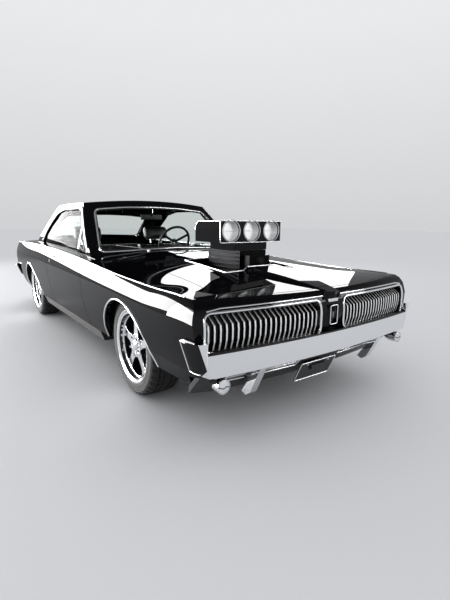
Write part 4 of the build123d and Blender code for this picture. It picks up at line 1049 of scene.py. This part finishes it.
# --- Scoop, blower and hood opening ---------------------------------------------------
# Cast aluminium scoop, enamelled black and bolted on a finned blower. Three blasted alloy
# throats with butterfly plates face forward, pale with a painted sheen; the hood is cut out
# round it all and the cut edge carries a bright bead.
SCOOP_Y, SCOOP_Z = (-1.686, -1.377), (0.985, 1.129)
SCOOP_HALF_W = 0.270
SCOOP_ROUND_R = 0.060
BEAD_IN = 0.002                         # how far the beads' middle lies inside the scoop's edges
INTAKES = (-0.180, 0.0, 0.180)
INTAKE_Z = 1.062
INTAKE_R = 0.067
SHAFT_IN, SHAFT_REACH = 0.0385, 0.063
HOOD_HOLE = (0.300, -1.790, -1.290)     # half width, front and rear y
FIN_X, BLOWER_MIDDLE_Y = 0.123, -1.510
FIN_SIZE = (0.012, 0.350, 0.007)
FIN_ZS = [0.780 + 0.026 * number for number in range(6)]
PULLEYS = (("top", 0.842, 0.052), ("bottom", 0.640, 0.070))   # z and radius
PULLEY_Y = -1.7695

edged_copy("scoop", "scoop_case", "car_body", black_enamel, 0.007, 3)
# Blasted and lacquered alloy with a pale white share that is a painted sheen, so that it is pale from any
# side.
alloy_with_painted_sheen = surfaced("fine_blasted_lacquered_alloy_with_painted_sheen", "#F4F5F5", 0.45, 0.32, 0.0006, 0.00001, 0.06)
dressed("butterflies", alloy_with_painted_sheen)
throat = ((-0.040, INTAKE_R - 0.0006), (-0.012, INTAKE_R - 0.0006), (-0.002, INTAKE_R + 0.001),
          (0.003, INTAKE_R + 0.005), (0.001, INTAKE_R + 0.009), (-0.0005, INTAKE_R + 0.009))
for number, x in enumerate(INTAKES, 1):
    turned("intake_throat_%d" % number, throat, (x, SCOOP_Y[0], INTAKE_Z), FORWARD, alloy_with_painted_sheen,
           steps=72)
    shaft = [Vector((x + reach, SCOOP_Y[0] + SHAFT_IN, INTAKE_Z)) for reach in (-SHAFT_REACH, SHAFT_REACH)]
    strip("throttle_shaft_%d" % number, shaft, 0.003, alloy_with_painted_sheen)

# A polished bead frames the scoop's mouth and runs back along the edges of its round top.
mouth = oblong(-SCOOP_HALF_W, SCOOP_HALF_W, *SCOOP_Z, 0.008, 0.05)
strip("scoop_mouth_bead", [Vector((x, SCOOP_Y[0] + BEAD_IN, z)) for x, z in mouth], 0.0030, closed=True)
bead_x = SCOOP_HALF_W - BEAD_IN
edge = [Vector((bead_x, SCOOP_Y[0] + BEAD_IN, SCOOP_Z[1] - BEAD_IN))]
for degrees in range(0, 91, 10):
    turn = math.radians(degrees)
    edge.append(Vector((bead_x, SCOOP_Y[1] - SCOOP_ROUND_R + (SCOOP_ROUND_R - BEAD_IN) * math.sin(turn),
                        SCOOP_Z[1] - SCOOP_ROUND_R + (SCOOP_ROUND_R - BEAD_IN) * math.cos(turn))))
pair_of_strips("scoop_top_bead", edge, 0.0030)

cast_aluminium = surfaced("sand_cast_aluminium_blackened", "#0B0B0C", 1.0, 0.42, 0.0012, 0.00012, 0.1)
dressed("engine", cast_aluminium)
for side, mark in SIDES:
    for number, fin_z in enumerate(FIN_ZS, 1):
        place = (side * FIN_X, BLOWER_MIDDLE_Y, fin_z)
        fin = box("blower_fin_%s%d" % (mark, number), sized(place, FIN_SIZE), 0.002, 2)
        smoothed(fin)
        settled(fin, "car_body", cast_aluminium)
for name, z, radius in PULLEYS:
    rim = ((0.0, 0.0), (0.0, radius - 0.006), (0.002, radius), (0.004, radius - 0.002),
           (0.006, 0.020), (0.008, 0.016), (0.008, 0.0))
    turned("blower_pulley_" + name, rim, (0.0, PULLEY_Y, z), FORWARD, cast_aluminium)

half_w, y0, y1 = HOOD_HOLE
middle_y = (y0 + y1) / 2
edge = flowing(((half_w, y0), (half_w, y1), (-half_w, y1), (-half_w, y0)), 0.004, 0.02)
bead = [on_body(x * 1.014, middle_y + (y - middle_y) * 1.017, 0.001) for x, y in edge]
strip("hood_opening_bead", bead, 0.0045, closed=True, body="hood")

# --- Wheels ---------------------------------------------------------------------------
# Radial road tyres with grooved treads and ribbed sidewalls. Five-spoke cast wheels with
# polished faces, deep outer lips, charcoal painted shade on barrels and spoke sides, chromed nuts and caps.
TYRE_R, BEAD_R = 0.325, 0.230
WHEEL_X = 0.722
WHEEL_YS = {"f": -1.482, "r": 1.337}
TREAD_SEGMENTS = 120
GROOVES, GROOVE_HALF_W, GROOVE_DEPTH = (0.062, 0.026), 0.0045, 0.0075
# Notches in the tread: from and to how far out, from which radius, and in one of how many segments
NOTCHES = ((0.075, 0.100, 0.310, 3), (0.031, 0.057, 0.322, 4))
NOTCH_DEPTH = 0.005
FACE_X, BARREL_R = 0.074, 0.2085        # the wheel carries charcoal painted shade inboard of one and outside the other
NUTS, NUT_CIRCLE_R, NUT_OUT = 5, 0.0580, 0.0775
# Each profile is a row of places: how far out from the wheel's middle, and the radius.
WALL = ((0.102, BEAD_R), (0.106, 0.236), (0.1105, 0.246), (0.1105, 0.251), (0.112, 0.253), (0.112, 0.262),
        (0.1108, 0.264), (0.1118, 0.280), (0.1105, 0.291), (0.1120, 0.293), (0.1100, 0.297),
        (0.1030, 0.310), (0.0900, 0.3195), (0.0790, 0.3225))
OUTER_LIP = ((0.0760, 0.2035), (0.0800, 0.2080), (0.0985, 0.2140), (0.1050, 0.2270), (0.1075, 0.2290),
             (0.1100, 0.2330), (0.1110, 0.2370), (0.1105, 0.2405), (0.1085, 0.2410))
INNER_RING = ((0.0700, 0.2040), (0.0735, 0.2035), (0.0745, 0.2010), (0.0735, 0.1985), (0.0700, 0.1980))
CENTRE_CAP = ((0.0780, 0.0400), (0.0830, 0.0395), (0.0850, 0.0370), (0.0850, 0.0345),
              (0.0890, 0.0330), (0.0930, 0.0250), (0.0945, 0.0120), (0.0950, 0.0))
NUT = ((0.0, 0.0), (0.0, 0.0125), (0.003, 0.0110), (0.004, 0.0095), (0.013, 0.0095), (0.0165, 0.0060),
       (0.0175, 0.0))

tread_rubber = surfaced("radial_tyre_rubber", "#171718", 0.0, 0.78, 0.0008, 0.00012, 0.1)
cast_wheel = surfaced("machined_and_polished_cast_alloy", "#EBECEE", 1.0, 0.12, 0.0010, 0.000006, 0.05)
# Charcoal for the wheel's recesses: painted shade.
wheel_painted_shade = surfaced("charcoal_painted_wheel_shade", "#0E0E10", 0.3, 0.38, 0.0010, 0.00002, 0.08)


def tyre_profile():
    """The tyre's outside, from one bead over the tread to the other."""
    half = list(WALL)
    for at in GROOVES:
        foot_r = TYRE_R - GROOVE_DEPTH
        half += [(at + GROOVE_HALF_W, TYRE_R), (at + GROOVE_HALF_W - 0.001, foot_r),
                 (at - GROOVE_HALF_W + 0.001, foot_r), (at - GROOVE_HALF_W, TYRE_R)]
    return half + [(-along, radius) for along, radius in reversed(half)]


def tyre(mark, x, y, body):
    """Tyre spun from its profile, with notches pressed in along its shoulders and ribs."""
    piece = turned("tyre_tread_" + mark, tyre_profile(), (x, y, TYRE_R), (1.0, 0.0, 0.0), tread_rubber,
                   body, TREAD_SEGMENTS, 28.0)
    only(piece)
    bpy.ops.object.mode_set(mode="EDIT")
    bpy.ops.mesh.select_all(action="DESELECT")
    bpy.ops.mesh.select_mode(type="FACE")
    bpy.ops.object.mode_set(mode="OBJECT")
    for face in piece.data.polygons:
        across = abs(face.center.x - x)
        up, back = face.center.z - TYRE_R, face.center.y - y
        segment = int(math.atan2(up, back) / (2 * math.pi) * TREAD_SEGMENTS + 1000.5)
        face.select = any(near < across < far and math.hypot(up, back) > least_r and segment % every == 0
                          for near, far, least_r, every in NOTCHES)
    bpy.ops.object.mode_set(mode="EDIT")
    bpy.ops.mesh.inset(thickness=0.0008, depth=-NOTCH_DEPTH, use_individual=True)
    bpy.ops.object.mode_set(mode="OBJECT")
    return piece


def wheel(mark, x, y, body):
    """Cast wheel: its solid's own rim, polished outside and charcoal inside as painted shade, and turned
    parts.
    """
    side = math.copysign(1.0, x)
    out = (side, 0.0, 0.0)
    centre = Vector((x, y, TYRE_R))
    spokes = edged_copy("rim_" + mark, "wheel_spokes_" + mark, body, cast_wheel, 0.003)
    # Faces turned away from the outside, and the rim beyond BARREL_R, get charcoal: painted shade of the
    # wheel's recesses.
    spokes.data.materials.append(wheel_painted_shade)
    for face in spokes.data.polygons:
        away = math.hypot(face.center.z - TYRE_R, face.center.y - y)
        inboard = side * face.normal.x < 0.30 and side * (face.center.x - x) < FACE_X
        face.material_index = 1 if inboard or away > BARREL_R else 0
    for name, profile, finish, steps in (("lip", OUTER_LIP, cast_wheel, 96),
                                         ("inner_ring", INNER_RING, cast_wheel, 96),
                                         ("cap", CENTRE_CAP, bright_chrome, 64)):
        turned("wheel_%s_%s" % (name, mark), profile, centre, out, finish, body, steps)
    for number in range(NUTS):
        turn = math.radians(90.0 + 360.0 / NUTS * (number + 0.5))
        back, up = NUT_CIRCLE_R * math.cos(turn), NUT_CIRCLE_R * math.sin(turn)
        turned("wheel_nut_%s%d" % (mark, number + 1), NUT, centre + Vector((side * NUT_OUT, back, up)), out,
               bright_chrome, body, steps=6, degrees=20.0)


for end, y in WHEEL_YS.items():
    for side, mark in SIDES:
        body = "wheel_" + end + mark
        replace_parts(tyre(end + mark, side * WHEEL_X, y, body), "tyre_" + end + mark)
        wheel(end + mark, side * WHEEL_X, y, body)

# --- Underside, axle and exhaust ------------------------------------------------------
# Welded floor, rails and wheelhouses under stone-chip paint; cast and forged running
# gear with a film of rust and oil; aluminised steel pipes and silencers.
stone_chip = surfaced("stone_chip_underbody_paint", "#121213", 0.0, 0.75, 0.0022, 0.0004, 0.1)
forged_steel = surfaced("oiled_forged_steel", "#4A4744", 1.0, 0.50, 0.0016, 0.0001, 0.12)
aluminised_steel = surfaced("aluminised_steel_tube", "#A8A8A6", 1.0, 0.38, 0.0030, 0.00003, 0.1)
for node in ("floor_pan", "underframe", "front_frame"):
    dressed(node, stone_chip)
for node in ("rear_axle", "knuckle_l", "knuckle_r"):
    dressed(node, forged_steel)
dressed("exhaust", aluminised_steel)

# --- Cabin ----------------------------------------------------------------------------
# Bucket seats and a rear bench in black leather over foam, with head restraints; a padded
# dashboard with three dials, a three-spoke wheel, door cards, mats and a mirror.
# Each seat's node and cover, and how far from the car's middle its pleats start and end
SEATS = (("front_seats", "front_seat_covers", 0.230, 0.590),
         ("rear_seat", "rear_bench_cover", 0.100, 0.460))
SEAT_VOXEL, SEAT_SHRINK = 0.012, 0.010
SWELL_LIMIT = 0.012
PLEATS, PLEAT_DEPTH = 8, 0.007
REST_X, REST_POST_X = 0.410, 0.07
REST_VOXEL, REST_SHRINK = 0.010, 0.006
DASH_HEAD, DASH_FOOT = (-0.320, 0.770), (-0.400, 0.640)   # y and z of its slanted face
DIALS = ((0.240, 0.042), (0.350, 0.050), (0.460, 0.042))   # x and radius
DIAL_UP = 0.085
GLOVEBOX = (-0.560, -0.220, 0.045, 0.120)      # x0, x1, and how far up its foot and head are
STEERING_CENTRE, STEERING_TILT = (0.350, 0.050, 0.905), 25.0
CARD_X, CARD_L = 0.7285, 0.80
CARD_Z, CARD_H = 0.600, 0.40
CARD_PLEAT_H, CARD_PLEAT_DEPTH, CARD_PLEATS_END_Z = 0.05, 0.004, 0.70
INNER_HANDLE = ((0.722, -0.250, 0.700), (0.704, -0.245, 0.700),
                (0.704, -0.165, 0.700), (0.722, -0.160, 0.700))
MAT_YS = {"front": (-0.560, -0.050), "rear": (0.560, 0.950)}
MAT_X, MAT_W, MAT_Z = 0.400, 0.44, 0.2835
MAT_RIBS, MAT_RIB_H = 30, 0.0015
MIRROR = Vector((0.0, -0.120, 1.165))
MIRROR_SIZE = (0.230, 0.018, 0.055)
MIRROR_STEM = ((0.0, -0.008, 0.010), (0.0, -0.045, 0.050), (0.0, -0.030, 0.086))

leather = surfaced("grained_black_leather", "#151314", 0.0, 0.46, 0.0016, 0.00025, 0.1)
vinyl = surfaced("padded_black_vinyl", "#101011", 0.0, 0.50, 0.0010, 0.0001, 0.08)


def puffed(piece, limit):
    """Blows the piece up like a stuffed cover, moving no point more than limit."""
    before = [vertex.co.copy() for vertex in piece.data.vertices]
    cloth = piece.modifiers.new("cloth", "CLOTH")
    cloth.settings.quality = 4
    cloth.settings.use_pressure = True
    cloth.settings.uniform_pressure_force = 4.0
    cloth.settings.effector_weights.gravity = 0.0
    cloth.settings.shrink_min = -0.02
    for step in range(1, 21):
        bpy.context.scene.frame_set(step)
    only(piece)
    bpy.ops.object.modifier_apply(modifier=cloth.name)
    bpy.context.scene.frame_set(1)
    for vertex, start in zip(piece.data.vertices, before):
        move = vertex.co - start
        if move.length > limit:
            vertex.co = start + move.normalized() * limit


def cushioned(piece, voxel, shrink):
    """Remeshes a hard shape evenly, a little smaller, and stuffs it."""
    applied(piece, "REMESH", mode="VOXEL", voxel_size=voxel)
    applied(piece, "SMOOTH", factor=0.6, iterations=6)
    normals = [vertex.normal.copy() for vertex in piece.data.vertices]
    for vertex, normal in zip(piece.data.vertices, normals):
        vertex.co -= normal * shrink
    puffed(piece, SWELL_LIMIT)
    applied(piece, "SMOOTH", factor=0.5, iterations=3)
    only(piece)
    bpy.ops.object.shade_smooth()


def pleated(piece, x0, x1, count, depth):
    """Presses sewn channels into the seat's middle, running along the car."""
    normals = [vertex.normal.copy() for vertex in piece.data.vertices]
    for vertex, normal in zip(piece.data.vertices, normals):
        x = abs(vertex.co.x)
        if x0 < x < x1 and normal.z - normal.y > 0.5:
            phase = (x - x0) / (x1 - x0) * count
            vertex.co -= normal * depth * (1.0 - abs(math.sin(math.pi * phase))) ** 3


for node, name, x0, x1 in SEATS:
    seat = joined_copy(node, name, "car_body", leather)
    cushioned(seat, SEAT_VOXEL, SEAT_SHRINK)
    pleated(seat, x0, x1, PLEATS, PLEAT_DEPTH)


def rest_corner(side, across, along, up):
    """The head restraint leans back a little."""
    return side * REST_X + 0.300 * across, 0.630 + 0.105 * along + 0.03 * up, 0.990 + 0.150 * up


for side, mark in SIDES:
    rest = box("head_restraint_" + mark, lambda *corner: rest_corner(side, *corner), 0.035, 4)
    settled(rest, "car_body", leather)
    cushioned(rest, REST_VOXEL, REST_SHRINK)
    for number, x in enumerate((side * REST_X - REST_POST_X, side * REST_X + REST_POST_X), 1):
        post = [Vector((x, 0.618, 0.870)), Vector((x, 0.628, 0.950))]
        strip("restraint_post_%s%d" % (mark, number), post, 0.006, bright_chrome)

edged_copy("dashboard", "dashboard_pad", "car_body", vinyl, 0.014, 4)
dial_black = surfaced("printed_black_dial", "#0A0A0B", 0.0, 0.25, 0.0, 0.0, 0.05)
needle_white = surfaced("white_painted_needle", "#E8E6E0", 0.0, 0.5, 0.0, 0.0, 0.08)
dash_foot, dash_head = Vector((0.0, *DASH_FOOT)), Vector((0.0, *DASH_HEAD))
dash_up = (dash_head - dash_foot).normalized()
dash_out = Vector((0.0, dash_up.z, -dash_up.y))


def dash_point(x, up, out=0.0):
    """Point on the dashboard's slanted face, up metres along it from its foot."""
    return dash_foot + Vector((x, 0.0, 0.0)) + dash_up * up + dash_out * out


for number, (x, radius) in enumerate(DIALS, 1):
    centre = dash_point(x, DIAL_UP)
    bezel = ((0.0, radius), (0.010, radius), (0.013, radius - 0.003), (0.010, radius - 0.006),
             (0.002, radius - 0.006))
    turned("dial_bezel_%d" % number, bezel, centre, dash_out, bright_chrome, steps=48)
    turned("dial_face_%d" % number, ((0.0030, radius - 0.005), (0.0032, 0.0)), centre, dash_out, dial_black,
           steps=48)
    for tick in range(9):
        turn = math.radians(30.0 * tick - 120.0)
        way = Vector((math.sin(turn), 0.0, 0.0)) + dash_up * math.cos(turn)
        strip("dial_tick_%d%d" % (number, tick + 1),
              [centre + way * (radius * share) + dash_out * 0.0036 for share in (0.72, 0.82)], 0.0006,
              needle_white)
    hub = centre + dash_out * 0.0045
    tip = hub + (Vector((-0.6, 0.0, 0.0)) + dash_up * 0.5) * radius * 0.8
    strip("dial_needle_%d" % number, [hub, tip], 0.0009, needle_white)
strip("dash_bright_line", [dash_point(0.62 * (k / 5 - 1), 0.030, 0.002) for k in range(11)], 0.003)
glovebox_line = [dash_point(x, up, 0.001) for x, up in oblong(*GLOVEBOX, 0.010)]
strip("glovebox_edge", glovebox_line, 0.0018, closed=True)

dressed("steering_wheel", vinyl)
tilt = math.radians(STEERING_TILT)
button = ((0.0148, 0.0330), (0.0170, 0.0310), (0.0200, 0.0240), (0.0215, 0.0120), (0.0218, 0.0))
turned("horn_button", button, STEERING_CENTRE, (0.0, math.cos(tilt), math.sin(tilt)), bright_chrome,
       "steering_wheel", 48)


def card_point(side, along, up):
    """The door card is pleated up to the height of its handle and plain above it."""
    z = CARD_Z + up * CARD_H
    fold = 1.0
    if z < CARD_PLEATS_END_Z:
        fold = abs(math.sin(math.pi * (z - CARD_Z + CARD_H / 2) / CARD_PLEAT_H))
    return side * (CARD_X - CARD_PLEAT_DEPTH * fold), along * CARD_L, z


def arm_corner(side, across, along, up):
    """The arm rest is thinner at its front end."""
    return side * 0.703 + across * 0.050, 0.090 + along * 0.36, 0.600 + up * (0.050 if along > 0 else 0.032)


def mat_point(side, y0, y1, across, along):
    """Every other row of the mat stands up as a rib."""
    rib = MAT_RIB_H if int((across + 0.5) * MAT_RIBS + 0.5) % 2 else 0.0
    return side * (MAT_X + across * MAT_W), (y0 + y1) / 2 + along * (y1 - y0), MAT_Z + rib


for side, mark in SIDES:
    card = sheet("door_card_" + mark, 34, 20, lambda along, up: card_point(side, along, up), 0.002)
    smoothed(card, 50.0)
    settled(card, DOORS[mark], vinyl)
    arm = box("arm_rest_" + mark, lambda *corner: arm_corner(side, *corner), 0.012, 4)
    smoothed(arm)
    settled(arm, DOORS[mark], leather)
    handle = flowing([flipped(Vector(place), side) for place in INNER_HANDLE], 0.010, 0.02, False)
    strip("inner_handle_" + mark, handle, 0.005, bright_chrome, body=DOORS[mark])
    for row, ends in MAT_YS.items():
        mat = sheet("floor_mat_%s_%s" % (row, mark), MAT_RIBS, 2,
                    lambda across, along: mat_point(side, *ends, across, along), 0.003)
        settled(mat, "car_body", black_rubber)

mirror_shell = box("inner_mirror", sized(MIRROR, MIRROR_SIZE), 0.008, 3)
smoothed(mirror_shell)
settled(mirror_shell, "car_body", vinyl)
strip("inner_mirror_stem", [MIRROR + Vector(offset) for offset in MIRROR_STEM], 0.006, bright_chrome)

# --- Door handles, locks and wipers ---------------------------------------------------
# Chromed push-button handles and key locks on the doors, and two stainless wipers with
# rubber blades that lie along the foot of the windshield.
HANDLE_Y, HANDLE_Z = (0.170, 0.300), 0.796
LOCK_Y, LOCK_Z = 0.290, 0.741
WIPERS = ((-0.300, -0.600), (0.440, 0.090))    # x of each pivot, and of where its blade points
WIPER_PIVOT_Y = -0.672
BLADE_Z = 0.916

y0, y1 = HANDLE_Y
grip = [Vector((side_x(y, HANDLE_Z) + out, y, HANDLE_Z))
        for y, out in ((y0, -0.002), (y0 + 0.006, 0.012), (y1 - 0.020, 0.014), (y1, -0.002))]
lock_profile = ((0.0, 0.0), (0.0, 0.013), (0.003, 0.0125), (0.004, 0.006), (0.002, 0.005), (0.002, 0.0))
for side, mark in SIDES:
    handle = flowing([flipped(place, side) for place in grip], 0.010, 0.02, False)
    strip("door_handle_" + mark, handle, 0.0065, bright_chrome, body=DOORS[mark])
    turned("door_lock_" + mark, lock_profile, (side * side_x(LOCK_Y, LOCK_Z), LOCK_Y, LOCK_Z),
           (side, 0.0, 0.0), bright_chrome, DOORS[mark], steps=32)

for number, (pivot_x, tip_x) in enumerate(WIPERS, 1):
    blade = [on_window(WINDSHIELD, pivot_x + (tip_x - pivot_x) * (0.30 + k / 8), BLADE_Z, 0.006)
             for k in range(9)]
    strip("wiper_blade_%d" % number, blade, 0.0045, black_rubber)
    root = on_body(pivot_x, WIPER_PIVOT_Y, 0.004)
    arm_end = blade[4] + Vector((0.0, -0.006, 0.004))
    elbow = root.lerp(arm_end, 0.35) + Vector((0.0, -0.006, 0.012))
    strip("wiper_arm_%d" % number, [root, elbow, arm_end], 0.0032)
    turned("wiper_pivot_%d" % number, ((-0.006, 0.011), (0.004, 0.011), (0.009, 0.008), (0.010, 0.0)), root,
           (0.0, -0.3, 1.0), bright_chrome, steps=24)
